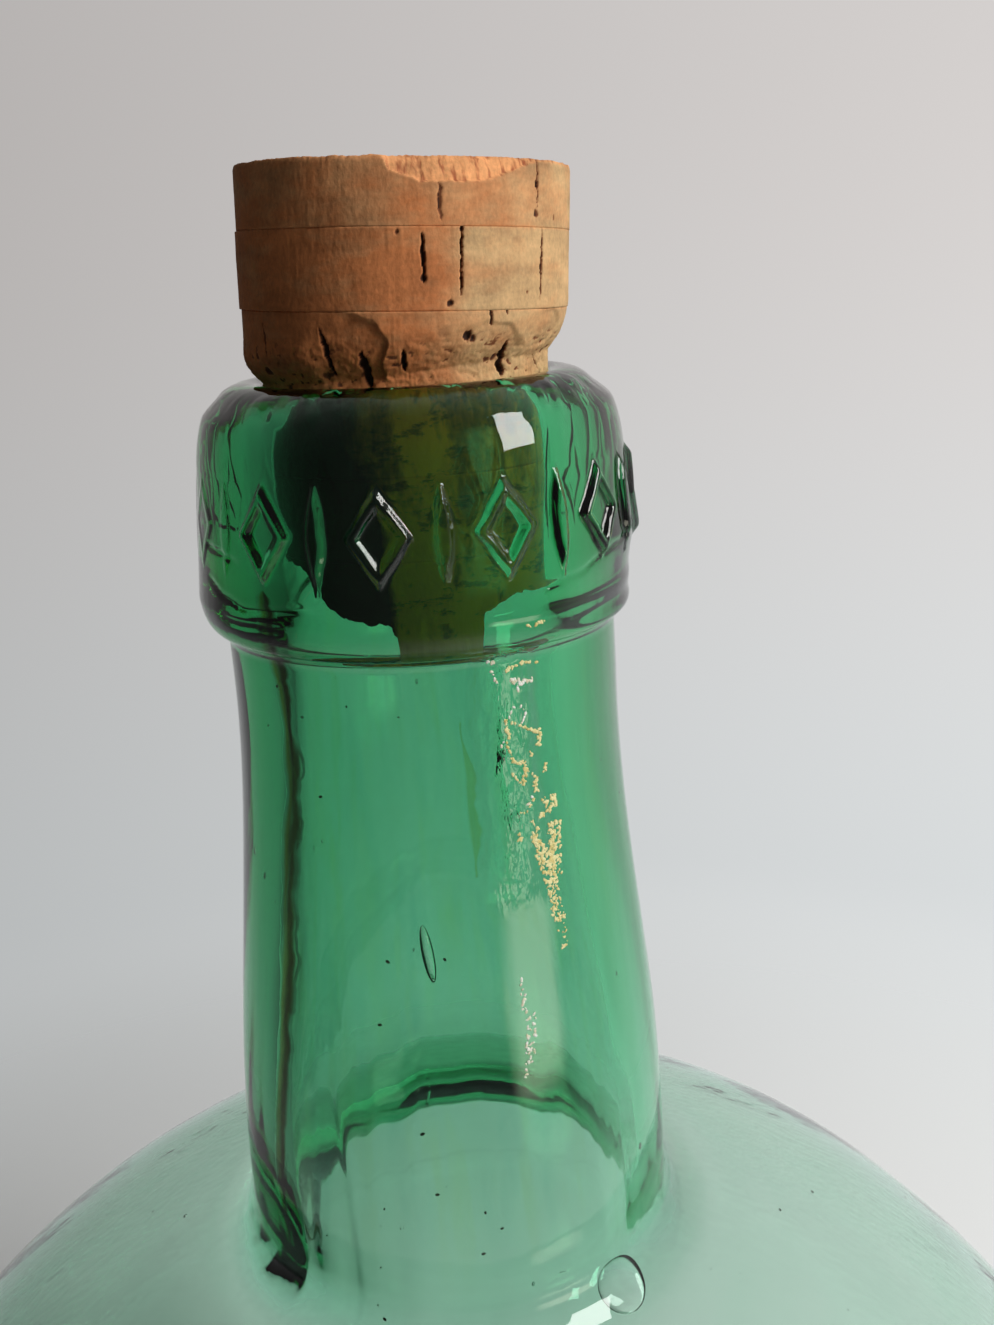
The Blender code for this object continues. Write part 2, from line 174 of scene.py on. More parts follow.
class FinishColours(bpy.types.PropertyGroup):
    """Colours of glass, cork and dried wine"""

    glass_tint: colour_setting("Glass tint", "Colour that the glass lets through",
                               (0.24, 0.775, 0.54))
    glass_density: number_setting("Glass density", "Absorption per metre of glass", 190.0)
    cork_tan: colour_setting("Clean cork", "Colour of clean cork", (0.585, 0.375, 0.185))
    # Stained cork, and also the painted shade on the cork's shaded sides
    cork_brown: colour_setting("Stained cork", "Colour of stained cork", (0.53, 0.188, 0.066))
    # Freshly broken cork, and also the painted highlights along the layers' top edges
    cork_fresh_and_highlight: colour_setting("Broken cork", "Colour of freshly broken cork", (0.84, 0.39, 0.165))
    cork_bark: colour_setting("Cork slits", "Colour inside the slits", (0.045, 0.020, 0.012))
    wet_light: colour_setting("Wine-stained cork", "Cork inside the mouth", (0.95, 0.205, 0.010))
    # Soaked cork, the painted shade on the plug's left, and the pits
    wet_dark_and_shade: colour_setting("Soaked cork", "Darkest cork inside the mouth", (0.02, 0.008, 0.004))
    # Golden dried flakes, which also stand in for warm glints
    residue_and_glint: colour_setting("Residue", "Dried flakes on the neck", (0.85, 0.78, 0.40))
    tide: colour_setting("Tide line", "What the dried wine inside the neck lets through",
                         (0.26, 0.10, 0.03))
    tide_rim: colour_setting("Tide rim", "What its thin left side lets through", (1.0, 0.45, 0.16))
    smear: colour_setting("Smear", "What the faint smear inside the neck lets through",
                          (0.93, 0.86, 0.60))
    stone: colour_setting("Stones", "Colour of the dark grains in the glass", (0.03, 0.05, 0.02))


class StageSizes(bpy.types.PropertyGroup):
    """Camera, lamps and floor"""

    lens: number_setting("Lens", "Focal length on a 36 mm long side, in millimetres", 35.32)
    camera_reach: length_setting("Camera reach", "Camera's distance from the bottle's axis", 0.168)
    camera_rise: length_setting("Camera rise", "Camera's height above the crease", 0.0426)
    camera_pitch: angle_setting("Camera pitch", "How far the camera looks down",
                                math.radians(16.885))
    camera_yaw: angle_setting("Camera yaw", "How far the camera looks to the right",
                              math.radians(3.272))
    camera_roll: angle_setting("Camera roll", "How far the camera is rolled", math.radians(-2.935))
    window_light: number_setting("Window light", "Power of the window lamp in watts", 7.9)
    room_light: number_setting("Room light", "Power of the soft light round the window", 3.5)
    sill_light: number_setting("Sill light", "Power of the lamp for the window sill", 0.6)
    floor_radius: length_setting("Floor radius", "Radius of the floor that takes shadows", 1.4)


def smooth_step(share):
    """Ease from 0 to 1 with level ends."""
    share = min(1.0, max(0.0, share))
    return share * share * (3.0 - 2.0 * share)


def between(points, place):
    """Value at a place on a line through (place, value) points, level past its ends."""
    if place <= points[0][0]:
        return points[0][1]
    for (a, low), (b, high) in zip(points, points[1:]):
        if place <= b:
            return low + (high - low) * (place - a) / (b - a)
    return points[-1][1]


def wave(x, y, z):
    """Smooth noise at a place, between about -1 and 1."""
    return noise.noise(Vector((x, y, z)))


def arc(centre, radius, start, end, steps):
    """Points on a circle in the (radius, height) plane, both ends included."""
    turns = [start + (end - start) * i / steps for i in range(steps + 1)]
    return [(centre[0] + radius * math.cos(a), centre[1] + radius * math.sin(a)) for a in turns]


def bend(first, corner, last, steps):
    """Points on the curve that leaves first towards corner and arrives at last from it."""
    points = []
    for i in range(steps + 1):
        t = i / steps
        points.append(tuple((1 - t) ** 2 * a + 2 * t * (1 - t) * b + t * t * c
                            for a, b, c in zip(first, corner, last)))
    return points


def straight(first, last, steps):
    """Evenly spaced points between two, both ends included."""
    return [tuple(a + (b - a) * i / steps for a, b in zip(first, last)) for i in range(steps + 1)]


def degrees_round(x, y):
    """Bearing of a point in degrees, from -180 to 180."""
    return math.degrees(math.atan2(y, x))


def level_way(angle):
    """Level direction at an angle round the axis."""
    return Vector((math.cos(angle), math.sin(angle), 0.0))


def above_crease(height):
    """Height in millimetres above the crease under the collar."""
    return (height - CREASE_HEIGHT) / MM


def turned_mesh(name, rows, marks=None):
    """A closed mesh from rings of points, from the axis at one end to the axis at the other.

    Neighbouring rings have as many points, or one has a whole multiple of the other's. marks
    holds named values for each point, row by row, which become attributes of the mesh.
    """
    bm = bmesh.new()
    rings = [[bm.verts.new(p) for p in row] for row in rows]
    for low, high in zip(rings, rings[1:]):
        few, many, swap = (low, high, False) if len(low) <= len(high) else (high, low, True)
        count = len(few)
        step = len(many) // count
        for i in range(count):
            a, b = few[i], few[(i + 1) % count]
            run = [many[(i * step + k) % len(many)] for k in range(step + 1)]
            if count == 1:
                faces = [(a, run[k + 1], run[k]) for k in range(step)]
            elif step == 1:
                faces = [(a, b, run[1], run[0])]
            else:
                half = step // 2
                faces = [(a if k < half else b, run[k + 1], run[k]) for k in range(step)]
                faces.append((a, b, run[half]))
            for face in faces:
                bm.faces.new(face[::-1] if swap else face)
    bmesh.ops.recalc_face_normals(bm, faces=bm.faces)
    mesh = bpy.data.meshes.new(name)
    bm.to_mesh(mesh)
    bm.free()
    mesh.shade_smooth()
    for key, values in (marks or {}).items():
        attribute = mesh.attributes.new(key, "FLOAT", "POINT")
        attribute.data.foreach_set("value", [v for row in values for v in row])
    return mesh


def new_piece(name, mesh, material):
    """A new object in the scene, with one material."""
    piece = bpy.data.objects.new(name, mesh)
    bpy.context.scene.collection.objects.link(piece)
    mesh.materials.clear()
    mesh.materials.append(material)
    return piece


def feed(tree, socket, value):
    """Link a socket to another one, or set it to a plain value."""
    if isinstance(value, bpy.types.NodeSocket):
        tree.links.new(value, socket)
    else:
        socket.default_value = value


def feed_inputs(tree, node, values):
    """Feed a node's inputs, given by name or number."""
    for key, value in values.items():
        feed(tree, node.inputs[key], value)


def add_node(tree, kind, values=None, **settings):
    """A new node with its properties set and then its inputs fed."""
    node = tree.nodes.new(kind)
    for key, value in settings.items():
        setattr(node, key, value)
    feed_inputs(tree, node, values or {})
    return node


def calc(tree, operation, *values, clamp=False):
    """A Math node on numbers or sockets."""
    node = add_node(tree, "ShaderNodeMath", dict(enumerate(values)), operation=operation,
                    use_clamp=clamp)
    return node.outputs[0]


def times(tree, *values):
    """Product of numbers or sockets, from the left."""
    return functools.reduce(functools.partial(calc, tree, "MULTIPLY"), values)


def scale_vector(tree, vector, factor):
    """A colour or an offset times a number."""
    node = add_node(tree, "ShaderNodeVectorMath", {0: vector, "Scale": factor}, operation="SCALE")
    return node.outputs[0]


def split(tree, vector):
    """The three parts of a vector."""
    return add_node(tree, "ShaderNodeSeparateXYZ", {0: vector}).outputs


def join(tree, *parts):
    """A vector from its three parts."""
    return add_node(tree, "ShaderNodeCombineXYZ", dict(enumerate(parts))).outputs[0]


def ramp(tree, value, low, high, start=0.0, end=1.0):
    """A smooth ramp from start to end while the value goes from low to high."""
    values = {"Value": value, "From Min": low, "From Max": high, "To Min": start, "To Max": end}
    node = add_node(tree, "ShaderNodeMapRange", values, interpolation_type="SMOOTHSTEP")
    return node.outputs["Result"]


def patch(tree, value, low, high, soft):
    """1 where the value lies between low and high, with soft edges."""
    return times(tree, ramp(tree, value, low - soft, low + soft),
                 ramp(tree, value, high - soft, high + soft, 1.0, 0.0))


def grain_noise(tree, place, scale, stretch=(1.0, 1.0, 1.0), detail=2.0, rough=0.5):
    """Noise on the given coordinates, drawn out along an axis by a stretch below 1."""
    scaled = add_node(tree, "ShaderNodeVectorMath", {0: place, 1: stretch}, operation="MULTIPLY")
    values = {"Vector": scaled.outputs[0], "Scale": scale, "Detail": detail, "Roughness": rough}
    return add_node(tree, "ShaderNodeTexNoise", values).outputs["Fac"]


def blend_colours(tree, factor, first, second, blend_type="MIX"):
    """Mix two colours, given as sockets or as three numbers."""
    node = add_node(tree, "ShaderNodeMix", {"Factor": factor}, data_type="RGBA",
                    blend_type=blend_type)
    for number, colour in ((6, first), (7, second)):
        linked = isinstance(colour, bpy.types.NodeSocket)
        feed(tree, node.inputs[number], colour if linked else (*colour, 1.0))
    return node.outputs[2]


def bump(tree, height, distance, strength, normal=None):
    """Normals of a rough surface from its height."""
    values = {"Strength": strength, "Distance": distance, "Height": height}
    if normal is not None:
        values["Normal"] = normal
    return add_node(tree, "ShaderNodeBump", values).outputs["Normal"]


def attribute_value(tree, name):
    """A number that the mesh holds for each point."""
    return add_node(tree, "ShaderNodeAttribute", attribute_name=name).outputs["Fac"]


def new_material(name):
    """A material with its tree, its Principled shader and its Object coordinates."""
    material = bpy.data.materials.new(name)
    material.use_nodes = True
    tree = material.node_tree
    place = add_node(tree, "ShaderNodeTexCoord").outputs["Object"]
    return material, tree, tree.nodes["Principled BSDF"], place


def bearing_and_height(tree, place):
    """Bearing in degrees and height in millimetres above the crease, from Object coordinates."""
    x, y, z = split(tree, place)
    bearing = times(tree, calc(tree, "ARCTAN2", y, x), 180.0 / math.pi)
    height = times(tree, calc(tree, "SUBTRACT", z, CREASE_HEIGHT), 1.0 / MM)
    return bearing, height


WHITE = (1.0, 1.0, 1.0)
GLASS_IOR = 1.51
BLUISH_CORD = (0.80, 0.92, 0.94)
YELLOWISH_CORD = (1.0, 0.98, 0.82)

# Where cords tint the neck and where a dried film wrinkles it, in millimetres and degrees
CORD_HEIGHTS = (-78.0, -2.0)
FILM_HEIGHTS = (-31.0, -0.5)
FILM_BEARINGS = (-74.0, -61.0)


def glass_material(name, finish):
    """Clear glass whose colour comes from its thickness, with cords, streaks and a dried film."""
    material, tree, shader, place = new_material(name)
    bearing, height = bearing_and_height(tree, place)
    # Cords of bluer and yellower glass run down the neck
    cords = grain_noise(tree, place, 210.0, (1.0, 1.0, 0.09), 3.0, 0.6)
    colour = blend_colours(tree, ramp(tree, cords, 0.30, 0.47), BLUISH_CORD, WHITE)
    colour = blend_colours(tree, ramp(tree, cords, 0.54, 0.70), colour, YELLOWISH_CORD)
    colour = blend_colours(tree, patch(tree, height, *CORD_HEIGHTS, 9.0), WHITE, colour)
    streaks = bump(tree, grain_noise(tree, place, 190.0, (1.0, 1.0, 0.14)), 0.6 * MM, 0.14)
    # A dried film wrinkles the surface down the front of the neck
    wander = calc(tree, "MULTIPLY_ADD", grain_noise(tree, place, 90.0), 14.0, -7.0)
    film = times(tree, patch(tree, calc(tree, "ADD", bearing, wander), *FILM_BEARINGS, 3.0),
                 patch(tree, height, *FILM_HEIGHTS, 3.0))
    wrinkles = grain_noise(tree, place, 430.0, (1.0, 1.0, 0.36), 3.0, 0.6)
    feed_inputs(tree, shader, {
        "Base Color": colour, "Roughness": 0.0, "IOR": GLASS_IOR, "Transmission Weight": 1.0,
        "Normal": bump(tree, times(tree, wrinkles, film), 0.9 * MM, 0.75, streaks)})
    absorb = add_node(tree, "ShaderNodeVolumeAbsorption", {
        "Color": (*finish.glass_tint, 1.0), "Density": finish.glass_density})
    feed(tree, tree.nodes["Material Output"].inputs["Volume"], absorb.outputs["Volume"])
    return material


def flake_and_glint_material(name, finish):
    """Dried flakes, golden, and pale ones that are painted white glints; the golden ones also stand
    in for warm glints.
    """
    material, tree, shader, place = new_material(name)
    speckle = ramp(tree, grain_noise(tree, place, 1400.0), 0.35, 0.7)
    # Pale flakes are painted white glints; golden dried flakes also stand in for warm glints
    colour = blend_colours(tree, attribute_value(tree, "pale"), finish.residue_and_glint,
                           (0.88, 0.90, 0.84))
    colour = blend_colours(tree, speckle, colour, (0.80, 0.72, 0.50), "MULTIPLY")
    feed_inputs(tree, shader, {"Base Color": colour, "Roughness": 0.45})
    return material


def stone_material(name, finish):
    """Dark grains that never melted."""
    material, tree, shader, place = new_material(name)
    tone = ramp(tree, grain_noise(tree, place, 2500.0), 0.3, 0.7, 0.4, 1.6)
    feed_inputs(tree, shader, {
        "Base Color": scale_vector(tree, finish.stone, tone), "Roughness": 0.5})
    return material


# A film too thin to bend the light much
FILM_IOR = 1.03


def stain_material(name, middle, rim):
    """Thin film of dried wine: clear at both sides, and tinted differently towards the left one."""
    material, tree, shader, place = new_material(name)
    patchy = grain_noise(tree, place, 300.0, (1.0, 1.0, 0.25), 3.0)
    across = calc(tree, "ADD", attribute_value(tree, "edge"),
                  calc(tree, "MULTIPLY_ADD", patchy, 1.0, -0.5))
    colour = blend_colours(tree, patch(tree, across, -0.65, -0.05, 0.3), WHITE, rim)
    colour = blend_colours(tree, patch(tree, across, -0.15, 0.60, 0.22), colour, middle)
    feed_inputs(tree, shader, {
        "Base Color": colour, "Roughness": 0.0, "IOR": FILM_IOR, "Transmission Weight": 1.0})
    return material


def lower_side(sizes, side_radius, heel_radius, floor_height, steps):
    """Heel and lower side of the belly, from the floor up to the widest line."""
    centre = (sizes.belly_radius - sizes.lower_side_radius, sizes.belly_line_height)
    reach = side_radius - heel_radius
    drop = centre[1] - floor_height - heel_radius
    across = math.sqrt(reach * reach - drop * drop)
    meet = -math.atan2(drop, across)
    heel_centre = (centre[0] + across, floor_height + heel_radius)
    heel = arc(heel_centre, heel_radius, -math.pi / 2, meet, steps // 3)
    return heel + arc(centre, side_radius, meet, 0.0, steps)[1:]


def shoulder(sizes, across, rise, neck_radius, steps):
    """Upper belly from the widest line up to the start of the flare under the neck."""
    end_angle = math.acos((neck_radius + sizes.flare_width) / across)
    angles = [end_angle * i / steps for i in range(steps + 1)]
    return [(across * math.cos(a), sizes.belly_line_height + rise * math.sin(a)) for a in angles]


def flare(sizes, start, before, neck_radius, steps):
    """The flare from the end of the shoulder into the foot of the neck."""
    slope = (start[1] - before[1]) / (before[0] - start[0])
    corner = (neck_radius, start[1] + (start[0] - neck_radius) * slope)
    return bend(start, corner, (neck_radius, corner[1] + sizes.flare_height), steps)


# Steps up the even stretch at the top of the neck
NECK_TOP_STEPS = 5


def neck_side(sizes, low, base_radius, top_radius, steps):
    """The neck's swelling side from its foot up to the crease."""
    swell = min(sizes.neck_swell_length, CREASE_HEIGHT - low)
    points = []
    for i in range(1, steps + 1):
        share = i / steps
        radius = base_radius + (top_radius - base_radius) * smooth_step(share)
        points.append((radius, low + swell * share))
    return points + straight(points[-1], (top_radius, CREASE_HEIGHT), NECK_TOP_STEPS)[1:]


def pushed_up_floor(edge_radius, edge_height, rise, steps):
    """The pushed-up base from the axis out to just short of its edge."""
    shares = [i / steps for i in range(steps)]
    return [(edge_radius * s, edge_height + rise * (1.0 - smooth_step(s))) for s in shares]


def bore_radius(bottle, height):
    """Radius of the tapered bore between the crease and the mouth."""
    share = (height - CREASE_HEIGHT) / (MOUTH_HEIGHT - CREASE_HEIGHT)
    return bottle.bore_waist_radius + (bottle.mouth_radius - bottle.bore_waist_radius) * share


# Steps along the collar's rounded foot, plain face, band of figures, lip and inner edge
FOOT_ROUND_STEPS, FACE_STEPS, BAND_STEPS, LIP_STEPS, EDGE_STEPS = 16, 10, 38, 20, 7
FOOT_TUCK = 0.3 * MM
EDGE_MARGIN = 0.1 * MM


def collar_outline(bottle, collar):
    """Outside of the collar in three stretches: foot, band of figures, and head with the lip."""
    foot = (bottle.neck_top_radius, CREASE_HEIGHT)
    widest = (collar.foot_radius, CREASE_HEIGHT + collar.foot_round)
    head = (collar.head_radius, CREASE_HEIGHT + collar.head_height)
    low_corner = (collar.foot_radius - FOOT_TUCK, CREASE_HEIGHT - EDGE_MARGIN)
    foot_round = bend(foot, low_corner, widest, FOOT_ROUND_STEPS)
    lean = (head[0] - widest[0]) / (head[1] - widest[1])

    def on_face(height):
        """A point on the leaning face."""
        return (widest[0] + lean * (height - widest[1]), height)

    # Half a stroke of plain face above and below the figures
    band_low = CREASE_HEIGHT + collar.band_low - collar.stroke / 2
    band_high = min(head[1] - EDGE_MARGIN, CREASE_HEIGHT + collar.band_low + collar.band_height)
    below = straight(widest, on_face(band_low), FACE_STEPS)
    band = straight(on_face(band_low), on_face(band_high), BAND_STEPS)
    crest = (collar.crest_radius, MOUTH_HEIGHT)
    head_corner = (head[0] + lean * (MOUTH_HEIGHT - head[1]), MOUTH_HEIGHT)
    over = bend(head, head_corner, crest, LIP_STEPS)
    mouth_edge = MOUTH_HEIGHT - bottle.mouth_round
    mouth = (bore_radius(bottle, mouth_edge), mouth_edge)
    inner_edge = bend(crest, (mouth[0], MOUTH_HEIGHT), mouth, EDGE_STEPS)
    return foot_round[1:] + below[1:-1], band, over + inner_edge[1:]


# Folds in the collar's face as (bearing, height) points, where the hot glass lapped over itself
COLLAR_FOLDS = (
    ((-64, 7.2), (-48, 8.4), (-33, 10.0), (-12, 11.8)),
    ((-156, 8.6), (-146, 7.0), (-136, 6.0), (-124, 6.7), (-114, 6.3)),
    ((-158, 12.6), (-148, 12.2), (-137, 11.4)),
    ((-150, 4.6), (-138, 4.0), (-122, 4.4)),
    ((35, 8.0), (60, 6.6), (92, 7.6), (118, 6.4)),
    ((140, 11.5), (158, 10.4), (176, 10.8)),
)
FOLD_DEPTH = 0.20
FOLD_WIDTH = 0.34


def fold_depth(bearing, height):
    """Depth in millimetres of the folds in the collar's face."""
    depth = 0.0
    for fold in COLLAR_FOLDS:
        if not fold[0][0] <= bearing <= fold[-1][0]:
            continue
        wander = 0.35 * wave(bearing * 0.16, fold[0][1], 0.0)
        away = (height - between(fold, bearing) - wander) / FOLD_WIDTH
        ends = min(bearing - fold[0][0], fold[-1][0] - bearing)
        depth += FOLD_DEPTH * math.exp(-away * away) * smooth_step(ends / 5.0)
    return depth


def blown_wave(x, y, z, swell, streak):
    """Unevenness of the blown wall: slow swells, and streaks drawn out along the bottle.

    Here and in the marks below, the numbers next to x, y and z are waves per metre.
    """
    slow = wave(x * 45.0, y * 45.0, z * 14.0) + 0.5 * wave(x * 105.0 + 7.0, y * 105.0, z * 30.0)
    return swell * slow + streak * wave(x * 290.0, y * 290.0 + 5.0, z * 20.0)


# How much of the hollow's shift is there, as (height, share) points
BORE_SHIFT_SHARES = ((-300, 0.0), (-250, 0.8), (-110, 0.8), (-92, 1.2), (-70, 1.0), (-25, 0.0))

# Where the mouth's inner edge is chipped most, as (bearing, share) points
CHIPPED_SHARES = ((-180, 0.25), (-150, 0.3), (-130, 0.9), (-118, 1.4), (-104, 0.5), (-78, 0.4),
                  (-66, 1.2), (-45, 1.3), (-28, 0.5), (10, 0.25), (60, 0.5), (110, 0.3),
                  (150, 0.4), (180, 0.25))

# How much rounder the lip is worn, in millimetres, as (bearing, depth) points
LIP_ROUNDING = ((-180, 0.9), (-150, 0.6), (-120, 0.0), (-60, 0.0), (-30, 1.0), (0, 1.3),
                (40, 0.8), (90, 0.3), (180, 0.9))

# How thick the ring of glass inside the neck's foot is, as (bearing, share) points
RING_SHARES = ((-180, 1.0), (-158, 0.9), (-141, 0.05), (-112, -0.15), (-62, -0.3), (-38, -0.05),
               (5, 0.35), (35, 0.65), (65, 1.0), (108, 0.95), (130, 0.55), (155, 0.7),
               (180, 1.0))
RING_HALF = 9.5 * MM
RING_DROP = 4 * MM

# A fold down the inside of the neck's foot, as (height, bearing) points
FOLD_LINE = ((-89, -121.5), (-78, -122.5), (-68, -125.0), (-57, -129.0))
FOLD_RISE = 0.12 * MM

# How far down the bore the mouth is chipped
CHIP_REACH = 4.6 * MM

# How far the collar's foot is pressed in on the right
FOOT_DENT = 1.1 * MM


def mouth_chip(bottle, x, y, height):
    """How far the ragged inner edge of the mouth stands back from its turned form."""
    below = (MOUTH_HEIGHT - height) / CHIP_REACH
    if below >= 1.0:
        return 0.0
    # Steps between flat splinters make the edge ragged
    ragged = wave(x * 300.0, y * 300.0, height * 190.0)
    ragged += 0.5 * wave(x * 760.0, y * 760.0, height * 420.0)
    stepped = math.floor(ragged * 5.0) / 5.0 + smooth_step((ragged * 5.0 % 1.0) * 3.0) / 5.0
    fade = (1.0 - smooth_step(below)) * smooth_step(below * 4.0 + 0.25)
    depth = bottle.mouth_chips * max(0.0, stepped + 0.15)
    return depth * fade * between(CHIPPED_SHARES, degrees_round(x, y))


def foot_ring(bottle, bearing, above_foot):
    """How far the ring of glass inside the neck's foot stands into the bore."""
    reach = (above_foot + RING_DROP) / RING_HALF
    return bottle.foot_ring * between(RING_SHARES, bearing) * math.exp(-reach * reach)


def inner_fold(bearing, height):
    """Depth of the fold down the inside of the neck's foot."""
    beside = bearing - between(FOLD_LINE, height)
    edge = smooth_step((beside + 0.8) / 1.6) * (1.0 - smooth_step(beside / 28.0))
    return FOLD_RISE * edge * smooth_step((-56.0 - height) / 6.0)


# Steps along each stretch of the wall's outline, outside and inside
FOOT_STEPS = 2
BASE_STEPS, INNER_BASE_STEPS = 10, 8
SIDE_STEPS, INNER_SIDE_STEPS = 20, 18
SHOULDER_STEPS, INNER_SHOULDER_STEPS = 26, 22
FLARE_STEPS = 9
NECK_STEPS, INNER_NECK_STEPS = 36, 40
BORE_STEPS = 26


def glass_rows(bottle, collar):
    """Rings of points of the whole glass wall, up its outside and down its inside."""

    def ring(radius, height, facets, shape=None):
        """One ring of points, pushed out by the shape's depth, or one point on the axis."""
        if radius == 0.0:
            return [(0.0, 0.0, height)]
        # The blown hollow runs off centre, so the wall is thicker on the left
        inner = shape in (neck_inside, belly_inside)
        share = between(BORE_SHIFT_SHARES, above_crease(height)) if inner else 0.0
        points = []
        for i in range(facets):
            angle = 2 * math.pi * i / facets
            x, y = radius * math.cos(angle), radius * math.sin(angle)
            scale = 1.0 + (shape(x, y, height) / radius if shape else 0.0)
            points.append((x * scale + bottle.bore_shift * share, y * scale, height))
        return points

    def rings(points, facets, shape=None):
        """A ring for each (radius, height) point of an outline."""
        return [ring(radius, height, facets, shape) for radius, height in points]

    def belly_outside(x, y, z):
        """Slow swells that only dip below the greatest width."""
        swell = bottle.swell * smooth_step(z / (20 * MM))
        return blown_wave(x, y, z, swell, 0.0) - 1.5 * swell

    def neck_outside(x, y, z):
        """Calm under the collar, and drawn in a little where the neck meets the belly."""
        calm = smooth_step((CREASE_HEIGHT - z) / (10 * MM))
        foot = 1.0 - smooth_step((z - foot_height) / (30 * MM))
        uneven = blown_wave(x, y, z, bottle.swell * calm, bottle.streak * (0.3 + 0.5 * foot))
        return uneven - 1.5 * bottle.swell * foot

    def belly_inside(x, y, z):
        """Slow swells that fade out at the base."""
        return blown_wave(y, x, z, bottle.swell * smooth_step(z / (30 * MM)), 0.0)

    def neck_inside(x, y, z):
        """Streaks and broad bands, with the ring, the fold and the chipped mouth."""
        foot = 1.0 - smooth_step((z - foot_height) / (32 * MM))
        calm = smooth_step((MOUTH_HEIGHT - z) / (30 * MM))
        uneven = blown_wave(y, x, z, bottle.swell * calm, bottle.streak * (1.0 + 1.2 * foot))
        uneven += bottle.drawn * calm * wave(x * 150.0, y * 150.0, z * 8.0)
        bearing = degrees_round(x, y)
        uneven -= foot_ring(bottle, bearing, z - inner_foot)
        return uneven + inner_fold(bearing, above_crease(z)) + mouth_chip(bottle, x, y, z)

    def collar_face(x, y, z):
        """The collar's face, folded, and pressed in a little low on the right."""
        bearing, height = degrees_round(x, y), above_crease(z)
        calm = smooth_step((height - 0.2) / 3.0)
        low = smooth_step((11.0 - height) / 6.0) * smooth_step((58.0 - abs(bearing + 4.0)) / 30.0)
        uneven = blown_wave(x, y, z, 0.25 * bottle.swell * calm, 0.0) - FOOT_DENT * low * calm
        return uneven - fold_depth(bearing, height) * MM

    def lip_face(x, y, z):
        """The worn and rippled lip with its chipped inner edge."""
        high = smooth_step((above_crease(z) - 26.5) / 2.5)
        worn = between(LIP_ROUNDING, degrees_round(x, y)) * MM * high
        ripple = 0.014 * MM * wave(x * 620.0, y * 620.0, z * 300.0)
        ripple += 0.04 * MM * wave(x * 210.0, y * 210.0 + 4.0, z * 160.0)
        uneven = blown_wave(x, y, z, 0.25 * bottle.swell, 0.0)
        return uneven + 0.6 * mouth_chip(bottle, x, y, z) + ripple - worn

    side = lower_side(bottle, bottle.lower_side_radius, bottle.heel_radius, 0.0, SIDE_STEPS)
    foot_inner = side[0][0] - bottle.foot_width
    base = pushed_up_floor(foot_inner, 0.0, bottle.punt_height, BASE_STEPS)
    base += straight((foot_inner, 0.0), side[0], FOOT_STEPS)
    belly = side[1:] + shoulder(bottle, bottle.belly_radius, bottle.shoulder_rise,
                                bottle.neck_base_radius, SHOULDER_STEPS)[1:]
    outer_flare = flare(bottle, belly[-1], belly[-2], bottle.neck_base_radius, FLARE_STEPS)
    foot_height = outer_flare[-1][1]
    neck = outer_flare[1:] + neck_side(bottle, foot_height, bottle.neck_base_radius,
                                       bottle.neck_top_radius, NECK_STEPS)
    below, band, over = collar_outline(bottle, collar)
    rows = rings(base, BELLY_FACETS) + rings(belly, BELLY_FACETS, belly_outside)
    rows += rings(neck, NECK_FACETS, neck_outside) + rings(below, NECK_FACETS, collar_face)
    rows += rings(band, BAND_FACETS, collar_face) + rings(over, NECK_FACETS, lip_face)

    inner_side = lower_side(bottle, bottle.lower_side_radius - bottle.belly_wall,
                            bottle.inner_heel_radius, bottle.base_wall, INNER_SIDE_STEPS)
    inside = pushed_up_floor(inner_side[0][0], bottle.base_wall, bottle.punt_height,
                             INNER_BASE_STEPS) + inner_side
    inside += shoulder(bottle, bottle.belly_radius - bottle.belly_wall,
                       bottle.shoulder_rise - bottle.belly_wall, bottle.bore_base_radius,
                       INNER_SHOULDER_STEPS)[1:]
    inner_flare = flare(bottle, inside[-1], inside[-2], bottle.bore_base_radius, FLARE_STEPS)
    inner_foot = inner_flare[-1][1]
    bore = inner_flare[1:] + neck_side(bottle, inner_foot, bottle.bore_base_radius,
                                       bottle.bore_waist_radius, INNER_NECK_STEPS)
    bore += straight(bore[-1], over[-1], BORE_STEPS)[1:-1]
    rows += rings(bore[::-1], NECK_FACETS, neck_inside)
    rows += rings(inside[::-1], BELLY_FACETS, belly_inside)
    return rows


SOCKET_KINDS = {"geometry": "NodeSocketGeometry", "integer": "NodeSocketInt",
                "number": "NodeSocketFloat", "material": "NodeSocketMaterial"}


def new_tree(name, inputs):
    """A geometry tree with its named inputs and one geometry output, and both of its ends."""
    tree = bpy.data.node_groups.new(name, "GeometryNodeTree")
    for label, kind in inputs:
        tree.interface.new_socket(name=label, in_out="INPUT", socket_type=SOCKET_KINDS[kind])
    tree.interface.new_socket(name="Geometry", in_out="OUTPUT",
                              socket_type=SOCKET_KINDS["geometry"])
    return tree, add_node(tree, "NodeGroupInput").outputs, add_node(tree, "NodeGroupOutput").inputs


def finish_tree(tree, geometry, material, result):
    """Smooth the faces, realize instances, set the material and end the tree."""
    smooth = add_node(tree, "GeometryNodeSetShadeSmooth", {"Geometry": geometry})
    realize = add_node(tree, "GeometryNodeRealizeInstances", {"Geometry": smooth.outputs[0]})
    paint = add_node(tree, "GeometryNodeSetMaterial", {
        "Geometry": realize.outputs[0], "Material": material})
    feed(tree, result["Geometry"], paint.outputs[0])
    return tree


def random_number(tree, low, high, seed=0):
    """A random number for each point."""
    values = {2: low, 3: high, "Seed": seed}
    return add_node(tree, "FunctionNodeRandomValue", values, data_type="FLOAT").outputs[1]


def small_ball(tree, radius):
    """A ball with few faces, because it is repeated hundreds of times."""
    values = {"Radius": radius, "Subdivisions": 2}
    return add_node(tree, "GeometryNodeMeshIcoSphere", values).outputs["Mesh"]


